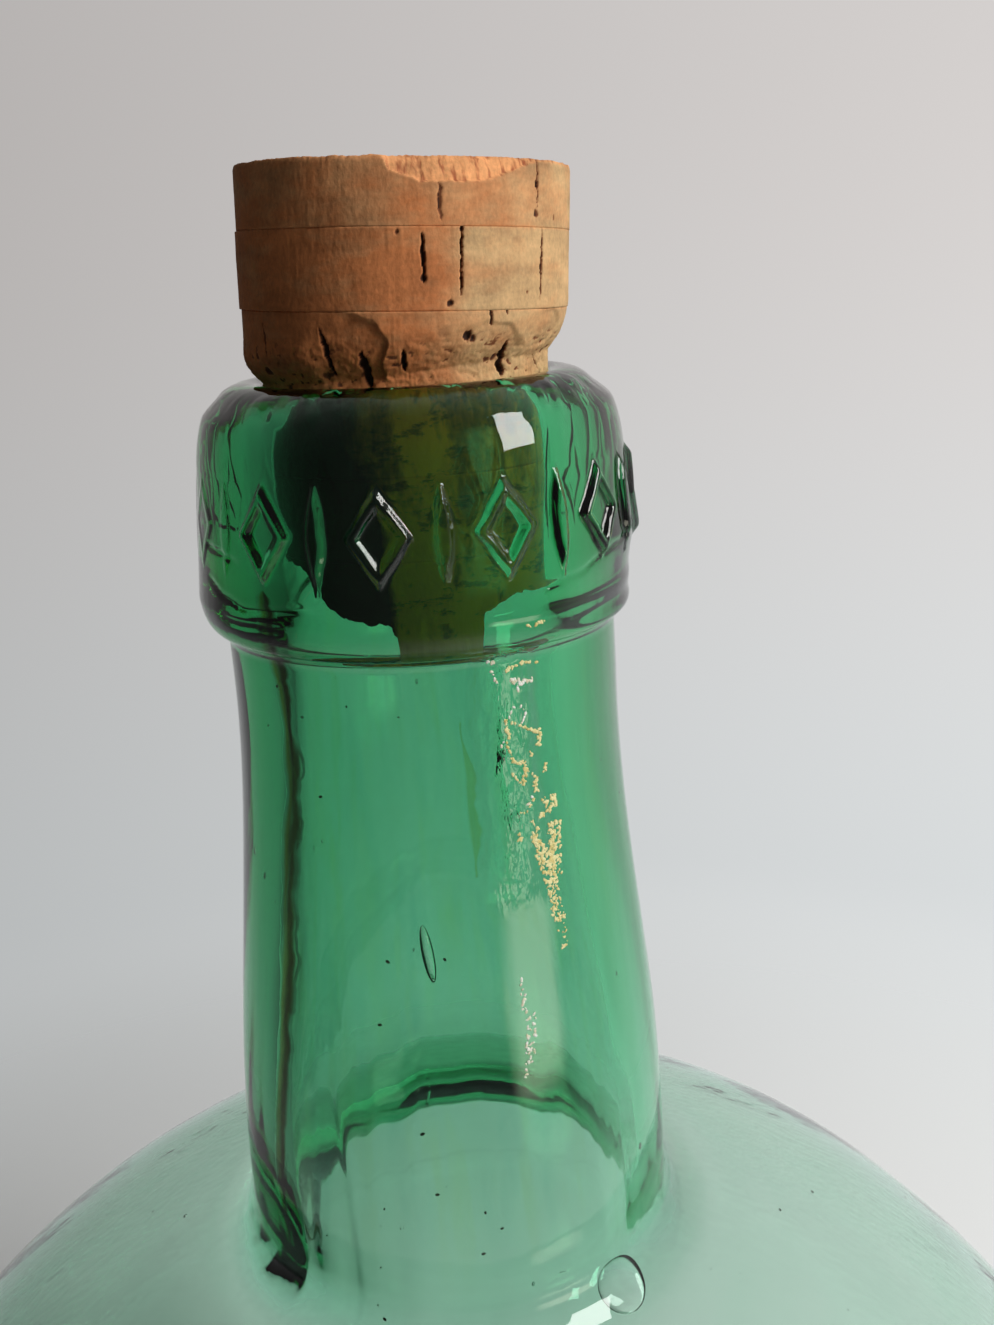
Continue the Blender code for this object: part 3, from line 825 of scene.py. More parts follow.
def relief_tree():
    """Geometry nodes that raise lozenge rings and pointed spindles in turn round the collar."""
    tree, given, result = new_tree("pressed_figures", (
        ("Geometry", "geometry"), ("Pairs", "integer"), ("Face Radius", "number"),
        ("Middle", "number"), ("Height", "number"), ("Lozenge Width", "number"),
        ("Stroke", "number"), ("Spindle Width", "number"), ("Relief", "number"),
        ("Wobble", "number"), ("Turn", "number"), ("Material", "material")))
    add, take, multiply, divide, unsigned = (
        functools.partial(calc, tree, operation)
        for operation in ("ADD", "SUBTRACT", "MULTIPLY", "DIVIDE", "ABSOLUTE"))

    spot = add_node(tree, "GeometryNodeInputPosition").outputs[0]
    x, y, z = split(tree, spot)
    reach = calc(tree, "SQRT", add(multiply(x, x), multiply(y, y)))
    stray = multiply(take(grain_noise(tree, spot, 420.0, detail=1.0), 0.5), given["Wobble"])
    angle = take(calc(tree, "ARCTAN2", y, x), given["Turn"])
    cell = calc(tree, "MULTIPLY_ADD", angle, divide(given["Pairs"], 2 * math.pi), 0.5)
    pitch = divide(multiply(given["Face Radius"], 2 * math.pi), given["Pairs"])
    side = add(unsigned(multiply(take(calc(tree, "FRACT", cell), 0.5), pitch)), stray)
    up = unsigned(take(z, given["Middle"]))
    half_height, half_width, half_stroke = (
        multiply(given[name], 0.5) for name in ("Height", "Lozenge Width", "Stroke"))

    # Distance from the middle line of a lozenge's raised stroke, square to its sides
    slant = calc(tree, "SQRT", add(multiply(half_height, half_height),
                                   multiply(half_width, half_width)))
    across = divide(multiply(half_height, half_width), slant)
    corner = add(divide(side, half_width), divide(up, half_height))
    from_line = unsigned(take(multiply(take(1.0, corner), across), half_stroke))

    # Distance out from a spindle, whose width shrinks towards its points
    from_edge = take(multiply(pitch, 0.5), side)
    rise_share = divide(up, half_height)
    narrowing = take(1.0, multiply(rise_share, rise_share), clamp=True)
    spindle_half = multiply(multiply(given["Spindle Width"], 0.5), narrowing)
    from_spindle = add(take(from_edge, spindle_half), half_stroke)

    def raised(distance):
        """1 on the raised stroke, sloping down to 0 beside it."""
        return ramp(tree, distance, multiply(half_stroke, 0.15), multiply(half_stroke, 1.35),
                    1.0, 0.0)

    figure = calc(tree, "MAXIMUM", raised(from_line), raised(from_spindle))
    in_band = calc(tree, "LESS_THAN", up, add(half_height, half_stroke))
    on_face = calc(tree, "GREATER_THAN", reach, take(given["Face Radius"], given["Stroke"]))
    # The figures are worn faint where the bottle was handled, on its left
    worn = ramp(tree, divide(x, reach), -0.80, -0.72, 0.12, 1.0)
    lift = multiply(multiply(figure, given["Relief"]), multiply(in_band, on_face))
    lift = multiply(lift, worn)
    offset = join(tree, multiply(lift, divide(x, reach)), multiply(lift, divide(y, reach)), 0.0)
    moved = add_node(tree, "GeometryNodeSetPosition", {
        "Geometry": given["Geometry"], "Offset": offset})
    return finish_tree(tree, moved.outputs[0], given["Material"], result)


def seed_tree():
    """Geometry nodes that keep the wall and scatter small bubbles in it, hollow side out."""
    tree, given, result = new_tree("glass_seeds", (
        ("Geometry", "geometry"), ("Density", "number"), ("Depth", "number"), ("Size", "number"),
        ("Low", "number"), ("High", "number"), ("Seed", "integer"), ("Material", "material")))
    spot = add_node(tree, "GeometryNodeInputPosition").outputs[0]
    normal = add_node(tree, "GeometryNodeInputNormal").outputs[0]
    level = add_node(tree, "ShaderNodeVectorMath", {0: spot, 1: (1.0, 1.0, 0.0)},
                     operation="MULTIPLY")
    outward = add_node(tree, "ShaderNodeVectorMath", {0: level.outputs[0], 1: normal},
                       operation="DOT_PRODUCT")
    height = split(tree, spot)[2]
    chosen = times(tree, calc(tree, "GREATER_THAN", height, given["Low"]),
                   calc(tree, "LESS_THAN", height, given["High"]),
                   calc(tree, "GREATER_THAN", outward.outputs["Value"], 5 * MM))
    scatter = add_node(tree, "GeometryNodeDistributePointsOnFaces", {
        "Mesh": given["Geometry"], "Selection": chosen, "Density": given["Density"],
        "Seed": given["Seed"]}, distribute_method="RANDOM")
    sunk = add_node(tree, "GeometryNodeSetPosition", {
        "Geometry": scatter.outputs["Points"],
        "Offset": scale_vector(tree, scatter.outputs["Normal"], times(tree, given["Depth"], -1.0))})
    hollow = add_node(tree, "GeometryNodeFlipFaces", {"Mesh": small_ball(tree, given["Size"])})
    size = random_number(tree, 0.35, 1.5, given["Seed"])
    copies = add_node(tree, "GeometryNodeInstanceOnPoints", {
        "Points": sunk.outputs[0], "Instance": hollow.outputs[0],
        "Scale": join(tree, size, size, times(tree, size, 1.9))})
    both = add_node(tree, "GeometryNodeJoinGeometry")
    for part in (given["Geometry"], copies.outputs[0]):
        feed(tree, both.inputs[0], part)
    return finish_tree(tree, both.outputs[0], given["Material"], result)


def grain_tree():
    """Geometry nodes that lay a rounded grain on each point, flat on the glass, spun at random."""
    tree, given, result = new_tree("grains", (
        ("Geometry", "geometry"), ("Size", "number"), ("Thickness", "number"),
        ("Seed", "integer"), ("Material", "material")))
    facing = add_node(tree, "GeometryNodeInputNamedAttribute", {"Name": "facing"},
                      data_type="FLOAT_VECTOR")
    upright = add_node(tree, "FunctionNodeAlignRotationToVector", {
        "Vector": facing.outputs["Attribute"]}, axis="Z")
    size = random_number(tree, 0.45, 1.4, given["Seed"])
    flat = join(tree, size, times(tree, size, 0.65),
                calc(tree, "DIVIDE", given["Thickness"], given["Size"]))
    copies = add_node(tree, "GeometryNodeInstanceOnPoints", {
        "Points": given["Geometry"], "Instance": small_ball(tree, given["Size"]),
        "Rotation": upright.outputs["Rotation"], "Scale": flat})
    spun = add_node(tree, "GeometryNodeRotateInstances", {
        "Instances": copies.outputs[0],
        "Rotation": join(tree, 0.0, 0.0, random_number(tree, 0.0, 2 * math.pi))})
    return finish_tree(tree, spun.outputs[0], given["Material"], result)


def bake_nodes(piece, tree, values):
    """Run a geometry tree on the piece and keep its result as a plain mesh."""
    modifier = piece.modifiers.new(tree.name, "NODES")
    modifier.node_group = tree
    for item in tree.interface.items_tree:
        if item.item_type == "SOCKET" and item.in_out == "INPUT" and item.name in values:
            modifier[item.identifier] = values[item.name]
    graph = bpy.context.evaluated_depsgraph_get()
    baked = bpy.data.meshes.new_from_object(piece.evaluated_get(graph),
                                            preserve_all_data_layers=True, depsgraph=graph)
    piece.modifiers.clear()
    old = piece.data
    piece.data = baked
    bpy.data.meshes.remove(old)
    if not baked.polygons:
        raise RuntimeError(f"{tree.name} left {piece.name} without faces")


# Large bubbles: bearing, height, distance from the axis, half-sizes, and tilt in degrees
BUBBLES = ((-94.6, -36.8, 26.4, (0.35, 0.75, 3.9), 0.0),
           (-48.6, -91.4, 31.0, (0.40, 3.9, 4.2), 45.0))
BUBBLE_TURN = math.radians(7.0)

# Random seeds, and the heights between which small bubbles lie
BUBBLE_SEED = 7
GRAIN_SEED = 3
SEEDS_LOW = 20 * MM
SEEDS_HIGH = CREASE_HEIGHT - 4 * MM


def add_bubble(mesh, bearing, height, reach, size, tilt):
    """Add one bubble to the wall, hollow side out, tilted back with the wall."""
    bm = bmesh.new()
    bm.from_mesh(mesh)
    made = bmesh.ops.create_uvsphere(bm, u_segments=20, v_segments=16, radius=1.0)
    angle = math.radians(bearing)
    turn = Matrix.Rotation(angle, 4, "Z") @ Matrix.Rotation(math.radians(-tilt), 4, "Y")
    turn = turn @ Matrix.Rotation(BUBBLE_TURN, 4, "X")
    centre = Matrix.Translation((reach * MM * math.cos(angle), reach * MM * math.sin(angle),
                                 CREASE_HEIGHT + height * MM))
    scale = Matrix.Diagonal((*(half * MM for half in size), 1.0))
    bmesh.ops.transform(bm, matrix=centre @ turn @ scale, verts=made["verts"])
    faces = {face for vert in made["verts"] for face in vert.link_faces}
    bmesh.ops.reverse_faces(bm, faces=list(faces))
    for face in faces:
        face.smooth = True
    bm.to_mesh(mesh)
    bm.free()


class DEMIJOHN_OT_bottle(bpy.types.Operator):
    """Blow the bottle and its pressed collar as one wall of glass"""

    bl_idname = "demijohn.bottle"
    bl_label = "Bottle"

    def execute(self, context):
        bottle = context.scene.demijohn_bottle
        collar = context.scene.demijohn_collar
        material = glass_material("green_glass", context.scene.demijohn_finish)
        mesh = turned_mesh("glass_bottle", glass_rows(bottle, collar))
        piece = new_piece("glass_bottle", mesh, material)
        bake_nodes(piece, relief_tree(), {
            "Pairs": collar.figure_pairs,
            "Face Radius": (collar.foot_radius + collar.head_radius) / 2,
            "Middle": CREASE_HEIGHT + collar.band_low + collar.band_height / 2,
            "Height": collar.band_height, "Lozenge Width": collar.lozenge_width,
            "Stroke": collar.stroke, "Spindle Width": collar.spindle_width,
            "Relief": collar.relief, "Wobble": collar.wobble, "Turn": collar.figure_turn,
            "Material": material})
        bake_nodes(piece, seed_tree(), {
            "Density": bottle.seeds, "Depth": bottle.belly_wall * 0.45, "Size": bottle.seed_size,
            "Low": SEEDS_LOW, "High": SEEDS_HIGH, "Seed": BUBBLE_SEED, "Material": material})
        for bubble in BUBBLES:
            add_bubble(piece.data, *bubble)
        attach(piece, "bottle")
        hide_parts("glass_body", "neck_collar")
        return {"FINISHED"}


# Dried flakes on the neck, partly painted glints: half-width, flakes per square millimetre, 1 for
# pale flakes that are painted white glints, and (bearing, height) points
STROKES = (
    (0.16, 16, 0, ((-68.3, -2.3), (-64.3, -1.8), (-59.3, -2.1))),
    (0.3, 16, 1, ((-67.3, -3.7), (-64.3, -4.2), (-61.1, -4.0))),
    (0.15, 14, 1, ((-73.9, -1.0), (-71.1, -1.1))),
    (0.1, 12, 1, ((-73.1, -1.8), (-72.1, -2.8), (-71.4, -3.8))),
    (0.14, 12, 1, ((-65.6, -4.6), (-64.7, -5.2))),
    (0.1, 12, 1, ((-66.5, -6.9), (-67.8, -7.8), (-68.4, -8.3))),
    (0.1, 12, 1, ((-64.7, -6.9), (-63.5, -8.2), (-64.6, -9.3))),
    (0.1, 12, 1, ((-70.2, -10.8), (-70.9, -11.8))),
    (0.14, 15, 0, ((-69.3, -8.5), (-69.2, -9.9), (-68.4, -10.7), (-69.4, -11.4), (-68.4, -12.6),
                   (-67.9, -13.7))),
    (0.26, 16, 0, ((-69.1, -9.3), (-68.7, -10.4))),
    (0.24, 15, 0, ((-67.9, -13.7), (-66.2, -14.1), (-64.3, -14.4), (-64.2, -15.4), (-64.8, -16.9))),
    (0.16, 14, 0, ((-64.8, -16.9), (-66.8, -16.4), (-68.2, -15.4))),
    (0.1, 13, 0, ((-69.3, -8.5), (-66.4, -9.1), (-62.2, -10.3))),
    (0.3, 16, 0, ((-61.9, -10.5), (-59.6, -10.7), (-59.1, -11.7), (-59.9, -12.7))),
    (0.26, 16, 0, ((-62.2, -13.1), (-62.3, -13.7))),
    (0.24, 16, 0, ((-57.5, -15.0), (-58.0, -16.0))),
    (0.12, 14, 0, ((-64.1, -15.2), (-62.0, -16.1), (-60.6, -16.7))),
    (0.3, 15, 0, ((-60.6, -16.7), (-61.6, -17.5), (-61.1, -18.3))),
    (0.1, 13, 0, ((-61.2, -18.5), (-63.1, -19.8), (-64.8, -20.6), (-67.2, -20.4))),
    (0.12, 13, 1, ((-62.2, -18.8), (-64.4, -20.0))),
    (0.34, 14, 0, ((-59.0, -19.5), (-57.5, -20.6), (-55.0, -20.5), (-55.9, -19.4))),
    (0.26, 14, 0, ((-55.0, -20.5), (-57.3, -21.3), (-60.5, -21.5))),
    (0.16, 14, 0, ((-63.4, -21.9), (-62.6, -22.5), (-61.4, -23.2))),
    (0.32, 15, 0, ((-67.4, -23.2), (-67.3, -23.9))),
    (1.05, 11, 0, ((-56.0, -23.1), (-56.6, -25.9), (-57.2, -29.3))),
    (0.6, 13, 0, ((-63.2, -23.6), (-61.2, -25.3), (-61.9, -26.8), (-60.6, -28.0))),
    (0.95, 11, 0, ((-59.0, -25.6), (-59.2, -27.7), (-59.1, -30.0))),
    (0.9, 9, 0, ((-58.8, -30.1), (-58.1, -32.8), (-57.4, -35.4))),
    (0.6, 6, 0, ((-57.4, -35.4), (-56.9, -37.3), (-56.5, -39.2))),
    (0.3, 7, 1, ((-70.3, -41.6), (-70.6, -44.3), (-70.7, -45.8))),
    (0.34, 8, 1, ((-69.8, -47.0), (-70.1, -49.7), (-71.7, -54.1))),
    (0.22, 6, 1, ((-68.1, -45.9), (-68.3, -49.3), (-69.8, -52.4))),
    (0.16, 12, 0, ((-65.7, 3.4), (-63.3, 3.5), (-60.8, 3.7))),
)

# Dark grains in the glass: bearing and height
STONES = (
    (-105.3, -37.7), (-90.3, -37.5), (-108.1, -46.0), (-95.9, -68.9), (-85.8, -78.0),
    (-126.1, -77.9), (-112.8, -86.5), (-98.6, -60.4), (-111.1, -88.3), (-80.9, -74.7),
    (-84.7, -72.0), (-111.2, -80.4), (-109.2, -71.4), (-136.0, -4.3), (-142.3, -9.9),
    (-122.9, -17.4), (-98.3, -6.8), (-127.3, -7.6), (20.0, -30.0), (64.0, -52.0),
    (130.0, -18.0), (150.0, -64.0))

# Dried wine down the inside of the neck: bearing and width as (height, value) points
TIDE_BEARINGS = ((-88, -151.0), (-75, -150.5), (-64, -149.0), (-56, -148.5), (-47, -147.5),
                 (-39, -148.0), (-27, -148.0), (-21, -145.8), (-12, -146.2), (-4, -148.5),
                 (6, -150.0))
TIDE_WIDTHS = ((-88, 1.4), (-70, 2.6), (-50, 2.4), (-30, 2.9), (-14, 2.6), (-6, 2.0), (-3.5, 3.4),
               (6, 2.4))
SMEAR_BEARINGS = ((-30, -78.0), (-24, -77.4), (-17, -77.2), (-13, -78.6), (-9.5, -79.4))
SMEAR_WIDTHS = ((-28, 0.3), (-24, 1.7), (-18, 1.5), (-12, 0.3))
FILM_THICKNESS = 0.12 * MM

# How far a film reaches into the glass, so that no air lies behind it
FILM_SINK = 0.06 * MM
FILM_STEPS = 120
FILM_FACETS = 10

# Millimetres round the neck for each degree
NECK_ARC = 0.46

# How far flakes and stones lie under the surface, and outside the neck, where rays start
FLAKE_DEPTH = -0.02 * MM
STONE_DEPTH = 0.6 * MM
RAY_START = 60 * MM


def stroke_spots():
    """Random spots over the strokes, as (bearing, height, white glint)."""
    chance = random.Random(8)
    spots = []
    for half, density, pale, points in STROKES:
        for (from_bearing, from_height), (to_bearing, to_height) in zip(points, points[1:]):
            along, up = (to_bearing - from_bearing) * NECK_ARC, to_height - from_height
            length = math.hypot(along, up)
            for _ in range(round(density * (length + half) * 2 * half)):
                share, away = chance.uniform(-0.1, 1.1), chance.uniform(-half, half)
                bearing = from_bearing + (share * along - away * up / length) / NECK_ARC
                height = from_height + share * up + away * along / length
                # The wide patches are full of small pits
                if half < 0.5 or abs(wave(bearing * 1.3, height * 1.8, 2.0)) > 0.07:
                    spots.append((bearing, height, pale))
    return spots


def spot_mesh(name, wall, spots, depth):
    """Loose points under the outer surface, each with the way it faces and whether it is a pale
    painted glint.
    """
    places, ways, white_glints = [], [], []
    for bearing, height, pale in spots:
        way = level_way(math.radians(bearing))
        start = way * RAY_START + Vector((0.0, 0.0, CREASE_HEIGHT + height * MM))
        hit, normal = wall.ray_cast(start, -way)[:2]
        places.append(hit - normal * depth)
        ways.extend(normal)
        white_glints.append(float(pale))
    mesh = bpy.data.meshes.new(name)
    mesh.from_pydata(places, [], [])
    mesh.attributes.new("facing", "FLOAT_VECTOR", "POINT").data.foreach_set("vector", ways)
    mesh.attributes.new("pale", "FLOAT", "POINT").data.foreach_set("value", white_glints)
    return mesh


def strip_mesh(name, wall, bearings, widths):
    """A closed, thin strip that clings to the inside of the neck, with no air behind it."""
    low, high = bearings[0][0], bearings[-1][0]
    rows, edges = [], []
    for step in range(FILM_STEPS + 1):
        height = low + (high - low) * step / FILM_STEPS
        axis = Vector((0.0, 0.0, CREASE_HEIGHT + height * MM))
        wobble = wave(height * 0.22, 3.0, 0.0) + 0.4 * wave(height * 0.9, 7.0, 0.0)
        middle = math.radians(between(bearings, height) + 0.9 * wobble)
        half = between(widths, height) * MM * (0.55 + 0.3 * wobble)
        if step in (0, FILM_STEPS):
            half *= 0.05
        half_angle = half / wall.ray_cast(axis, level_way(middle))[0].to_2d().length
        front, back, edge = [], [], []
        for i in range(FILM_FACETS + 1):
            share = 2.0 * i / FILM_FACETS - 1.0
            way = level_way(middle + share * half_angle)
            reach = wall.ray_cast(axis, way)[0].to_2d().length
            thick = FILM_THICKNESS * (1.0 - 0.6 * share * share)
            front.append(tuple(way * (reach + FILM_SINK) + axis))
            back.append(tuple(way * (reach - thick) + axis))
            edge.append(share)
        rows.append(front + back[::-1])
        edges.append(edge + edge[::-1])
    first, last = ([tuple(sum((Vector(p) for p in row), Vector()) / len(row))]
                   for row in (rows[0], rows[-1]))
    return turned_mesh(name, [first, *rows, last], {"edge": [[0.0], *edges, [0.0]]})


class DEMIJOHN_OT_traces(bpy.types.Operator):
    """Leave dried wine inside the neck, dried flakes and painted glints on it, and dark grains in
    the glass
    """

    bl_idname = "demijohn.traces"
    bl_label = "Dried traces"

    def execute(self, context):
        bottle = context.scene.demijohn_bottle
        finish = context.scene.demijohn_finish
        glass = bpy.data.objects.get("glass_bottle")
        if glass is None:
            raise RuntimeError("the bottle comes before its traces")
        wall = BVHTree.FromPolygons([v.co for v in glass.data.vertices],
                                    [p.vertices for p in glass.data.polygons])
        grains = grain_tree()
        stones = [(bearing, height, 0.0) for bearing, height in STONES]
        for name, make_material, spots, depth, size, flatness in (
                ("dried_flakes", flake_and_glint_material, stroke_spots(), FLAKE_DEPTH,
                 bottle.flake_size, 0.3),
                ("glass_stones", stone_material, stones, STONE_DEPTH, bottle.stone_size, 0.8)):
            material = make_material(name, finish)
            piece = new_piece(name, spot_mesh(name, wall, spots, depth), material)
            bake_nodes(piece, grains, {"Size": size, "Thickness": flatness * size,
                                       "Seed": GRAIN_SEED, "Material": material})
            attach(piece, "bottle")
        for name, bearings, widths, middle, rim in (
                ("tide_line", TIDE_BEARINGS, TIDE_WIDTHS, finish.tide, finish.tide_rim),
                ("inner_smear", SMEAR_BEARINGS, SMEAR_WIDTHS, finish.smear, finish.smear)):
            mesh = strip_mesh(name, wall, bearings, widths)
            piece = new_piece(name, mesh, stain_material(name, middle, rim))
            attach(piece, "bottle")
        return {"FINISHED"}


# Slits in the cork: bearing and height of the upper end, of the lower end, width, depth
SLITS = {
    1: ((-78.8, 51.9, -78.6, 47.7, 0.8, 0.16), (-78.9, 51.4, -79.2, 49.0, 0.3, 0.3),
        (-41.4, 54.6, -41.2, 48.9, 0.4, 0.7),
        (-31.0, 48.2, -31.0, 47.4, 0.3, 0.4)),
    2: ((-84.6, 46.9, -84.2, 41.4, 0.5, 0.7), (-72.0, 47.1, -72.4, 39.8, 0.42, 0.8),
        (-39.0, 46.7, -40.2, 38.6, 0.5, 0.6)),
    3: ((-62.5, 38.2, -61.4, 36.4, 0.55, 0.4), (-55.9, 38.2, -55.6, 37.5, 0.4, 0.35),
        (-119.5, 37.2, -116.4, 31.6, 0.75, 0.7), (-105.2, 34.4, -103.9, 30.2, 1.5, 0.9),
        (-91.0, 34.3, -90.6, 32.0, 0.75, 0.9), (-53.0, 34.6, -51.4, 30.4, 1.7, 1.0),
        (-32.7, 32.6, -27.5, 30.6, 0.5, 0.6), (-146.7, 38.0, -144.0, 33.2, 0.5, 0.5)),
}

# Round knots: bearing, height, radius, depth
KNOTS = {
    1: ((-41.6, 51.3, 0.42, 0.5), (-41.9, 48.2, 0.5, 0.25)),
    2: ((-84.5, 41.9, 0.45, 0.4), (-76.2, 39.1, 0.42, 0.35), (-46.9, 39.8, 0.25, 0.2),
        (-92.5, 46.8, 0.3, 0.2), (-72.0, 46.9, 0.3, 0.5)),
    3: ((-69.8, 35.5, 0.62, 0.55), (-67.6, 35.1, 0.5, 0.3), (-78.4, 36.0, 0.9, 0.06),
        (-60.5, 35.2, 0.8, 0.06), (-55.8, 32.8, 0.5, 0.25)),
}

# Knife scoops on the whittled layer: bearing, height, half-widths across and up, depth
SCOOPS = ((-112.0, 33.8, 5.6, 5.0, 0.55), (18.0, 35.2, 5.0, 4.0, 0.40),
          (64.0, 34.4, 6.0, 4.4, 0.45), (112.0, 35.4, 5.2, 3.6, 0.35),
          (160.0, 34.6, 5.6, 4.2, 0.40), (-68.0, 33.6, 8.0, 3.6, 0.30),
          (-36.0, 35.6, 4.5, 2.4, 0.25))

# Lower rim of the chip in the top edge as (bearing, height) points, and how far its face
# stands back as (bearing, share) points
CHIP_RIM = ((-98.0, 56.0), (-96.0, 54.3), (-94.4, 53.1), (-90.3, 52.6), (-87.0, 52.2),
            (-85.0, 51.8), (-67.0, 51.6), (-61.0, 51.8), (-56.7, 52.3), (-46.7, 53.3),
            (-34.0, 54.1), (-24.0, 56.0))
CHIP_SHARES = ((-98.0, 0.0), (-95.0, 0.55), (-90.0, 0.9), (-80.0, 1.0), (-62.0, 0.85),
               (-45.0, 0.45), (-24.0, 0.0))

# How stained each layer is, with painted shade: paler where the light falls and browner where it
# doesn't
STAIN_AND_SHADE_SHARES = {1: (0.60, 0.78), 2: (0.0, 1.0), 3: (0.10, 0.95)}

# Broken lower corner of the lowest layer, as (bearing, height) points
BROKEN_FOOT = ((-180.0, 9.4), (-150.0, 9.7), (-135.0, 9.4), (-130.8, 8.4), (-127.0, 6.2),
               (-123.2, 4.6), (-116.9, 3.5), (-107.8, 2.8), (-101.9, 2.9), (-98.9, 2.1),
               (-98.0, 0.5), (-69.6, 0.5), (-68.4, 3.4), (-55.0, 5.0), (-40.0, 5.4),
               (-25.0, 5.8), (0.0, 3.4), (70.0, 1.0), (120.0, 2.0), (150.0, 5.5), (180.0, 9.4))


# The hidden side, as bearings, and between which heights each layer's marks lie there
HIDDEN_SIDE = (-18.0, 196.0)
HIDDEN_HEIGHTS = {1: (47.8, 54.6), 2: (38.8, 47.0), 3: (31.0, 38.2)}
HIDDEN_SLITS = 9
HIDDEN_KNOTS = 4


def add_random_marks():
    """The slits and knots of each layer, with more on the hidden side, from a fixed seed."""
    chance = random.Random(31)
    slits = {number: list(marks) for number, marks in SLITS.items()}
    knots = {number: list(marks) for number, marks in KNOTS.items()}
    for number, (low, high) in HIDDEN_HEIGHTS.items():
        for _ in range(HIDDEN_SLITS):
            bearing = chance.uniform(*HIDDEN_SIDE)
            length = chance.uniform(0.8, 6.5)
            top = chance.uniform(min(low + length, high), high)
            drift = chance.uniform(-1.5, 1.5)
            slits[number].append((bearing, top, bearing + drift, top - length,
                                  chance.uniform(0.25, 0.7), chance.uniform(0.3, 0.8)))
        for _ in range(HIDDEN_KNOTS):
            knots[number].append((chance.uniform(*HIDDEN_SIDE), chance.uniform(low, high),
                                  chance.uniform(0.25, 0.6), chance.uniform(0.15, 0.45)))
    return slits, knots


# Layers 1 to 3 stand dry above the mouth, or reach just into it
DRY_LAYERS = 3
LAYERS = len(LAYER_BOXES)

# Gap between the cork and the bore, in millimetres, for the whittled layers and the plug
WHITTLED_GAP = 0.45
PLUG_GAP = 0.42

# Depth in millimetres at which a pit is fully dark
DARK_PIT = 0.32

# How proud layer 2 stands on the left, in millimetres
PROUD_EDGE = 0.12


def bearing_gap(bearing, other):
    """Signed difference of two bearings in degrees."""
    return (bearing - other + 180.0) % 360.0 - 180.0


def slit_depth(slit, bearing, height, arc_scale):
    """Depth of one slit in millimetres at a spot."""
    top_bearing, top, low_bearing, low, width, depth = slit
    along = (top - height) / (top - low)
    if not 0.0 < along < 1.0:
        return 0.0
    away = bearing_gap(bearing, top_bearing + (low_bearing - top_bearing) * along) * arc_scale
    if abs(away) > width * 1.5:
        return 0.0
    away += 0.30 * width * wave(height * 1.4, top_bearing, 0.0)
    away += 0.10 * wave(height * 4.0, top_bearing, 5.0)
    taper = (1.0 - (2.0 * along - 1.0) ** 4) * (0.75 + 0.5 * wave(height * 0.9, low, 3.0))
    half = max(0.05, width / 2 * taper)
    return depth * (1.0 - smooth_step((abs(away) - 0.3 * half) / (0.9 * half)))


def marks_depth(number, marks, bearing, height, arc_scale):
    """Depth in millimetres of all slits and knots of a layer at a spot."""
    slits, knots = marks
    depth = 0.0
    for slit in slits.get(number, ()):
        depth = max(depth, slit_depth(slit, bearing, height, arc_scale))
    for knot_bearing, knot_height, radius, knot_depth in knots.get(number, ()):
        across = bearing_gap(bearing, knot_bearing) * arc_scale
        up = height - knot_height
        if abs(across) < 2 * radius and abs(up) < 2 * radius:
            reach = math.hypot(across, up) / radius
            reach += 0.35 * wave(across * 3.0, up * 3.0, knot_bearing)
            depth = max(depth, knot_depth * (1.0 - smooth_step((reach - 0.35) / 0.75)))
    return depth


# Where the knife's cut starts and ends, and how much higher on the right, in millimetres
CUT_START = (36.7, 3.1)
CUT_END = (31.7, 1.3)

# Where the whittled layer is torn, and how deep, in millimetres
TORN_TOP = 37.5
TORN_DEPTH = 0.36


def whittled_radius(stopper, foot_radius, angle, height):
    """Radius of the stopper in millimetres above the mouth, cut back more on the right."""
    right = math.cos(angle)
    start = CUT_START[0] + CUT_START[1] * right
    end = CUT_END[0] + CUT_END[1] * right
    share = min(1.0, max(0.0, (height - end) / (start - end)))
    head = stopper.head_radius / MM
    return foot_radius + (head - foot_radius) * math.sin(share * math.pi / 2) ** 0.9


def layer_radius(stopper, bottle, number, angle, z):
    """Radius of a layer in millimetres before any mark is cut into it."""
    if number > DRY_LAYERS:
        return bore_radius(bottle, z) / MM - PLUG_GAP
    height = above_crease(z)
    foot_radius = bore_radius(bottle, min(z, MOUTH_HEIGHT)) / MM - WHITTLED_GAP
    oval = 0.10 * math.sin(2 * angle + number) + 0.06 * math.sin(3 * angle + 2.1 * number)
    whittled = whittled_radius(stopper, foot_radius, angle, height)
    return whittled + oval * smooth_step((height - 31.5) / 4.0)


def chip_marks(stopper, bearing, height, leaned):
    """Depth of the chip in the top edge in millimetres, and how freshly broken the spot is."""
    over = leaned - between(CHIP_RIM, bearing) - 0.10 * wave(bearing * 0.5, 0.0, 4.0)
    if over <= -0.25 or not CHIP_RIM[0][0] < bearing < CHIP_RIM[-1][0]:
        return 0.0, 0.0
    back = between(CHIP_SHARES, bearing) * stopper.chip_depth / MM
    fibre = wave(bearing * 0.95, height * 0.12, 8.0)
    step = 0.35 * smooth_step((over + 0.1) / 0.3) + 0.65 * smooth_step(over / 3.0)
    depth = back * step + 0.05 * fibre * smooth_step(over / 0.5)
    return depth, smooth_step((over + 0.12) / 0.2)


def scoop_depth(bearing, height, spot, arc_scale):
    """Depth of the knife scoops on the whittled layer in millimetres."""
    depth = 0.0
    for scoop_bearing, scoop_height, across, up, deepest in SCOOPS:
        aside = bearing_gap(bearing, scoop_bearing) * arc_scale / across
        reach = math.hypot(aside, (height - scoop_height) / up)
        reach += 0.16 * wave(spot.x * 0.5, spot.y * 0.5, spot.z * 0.5 + scoop_bearing)
        if reach < 1.2:
            # The knife leaves a sharp step where it stops and none where it starts
            width = 0.10 + 0.55 * smooth_step(0.5 - aside)
            depth += deepest * (1.0 - smooth_step((reach - 1.0 + width) / width))
    return depth


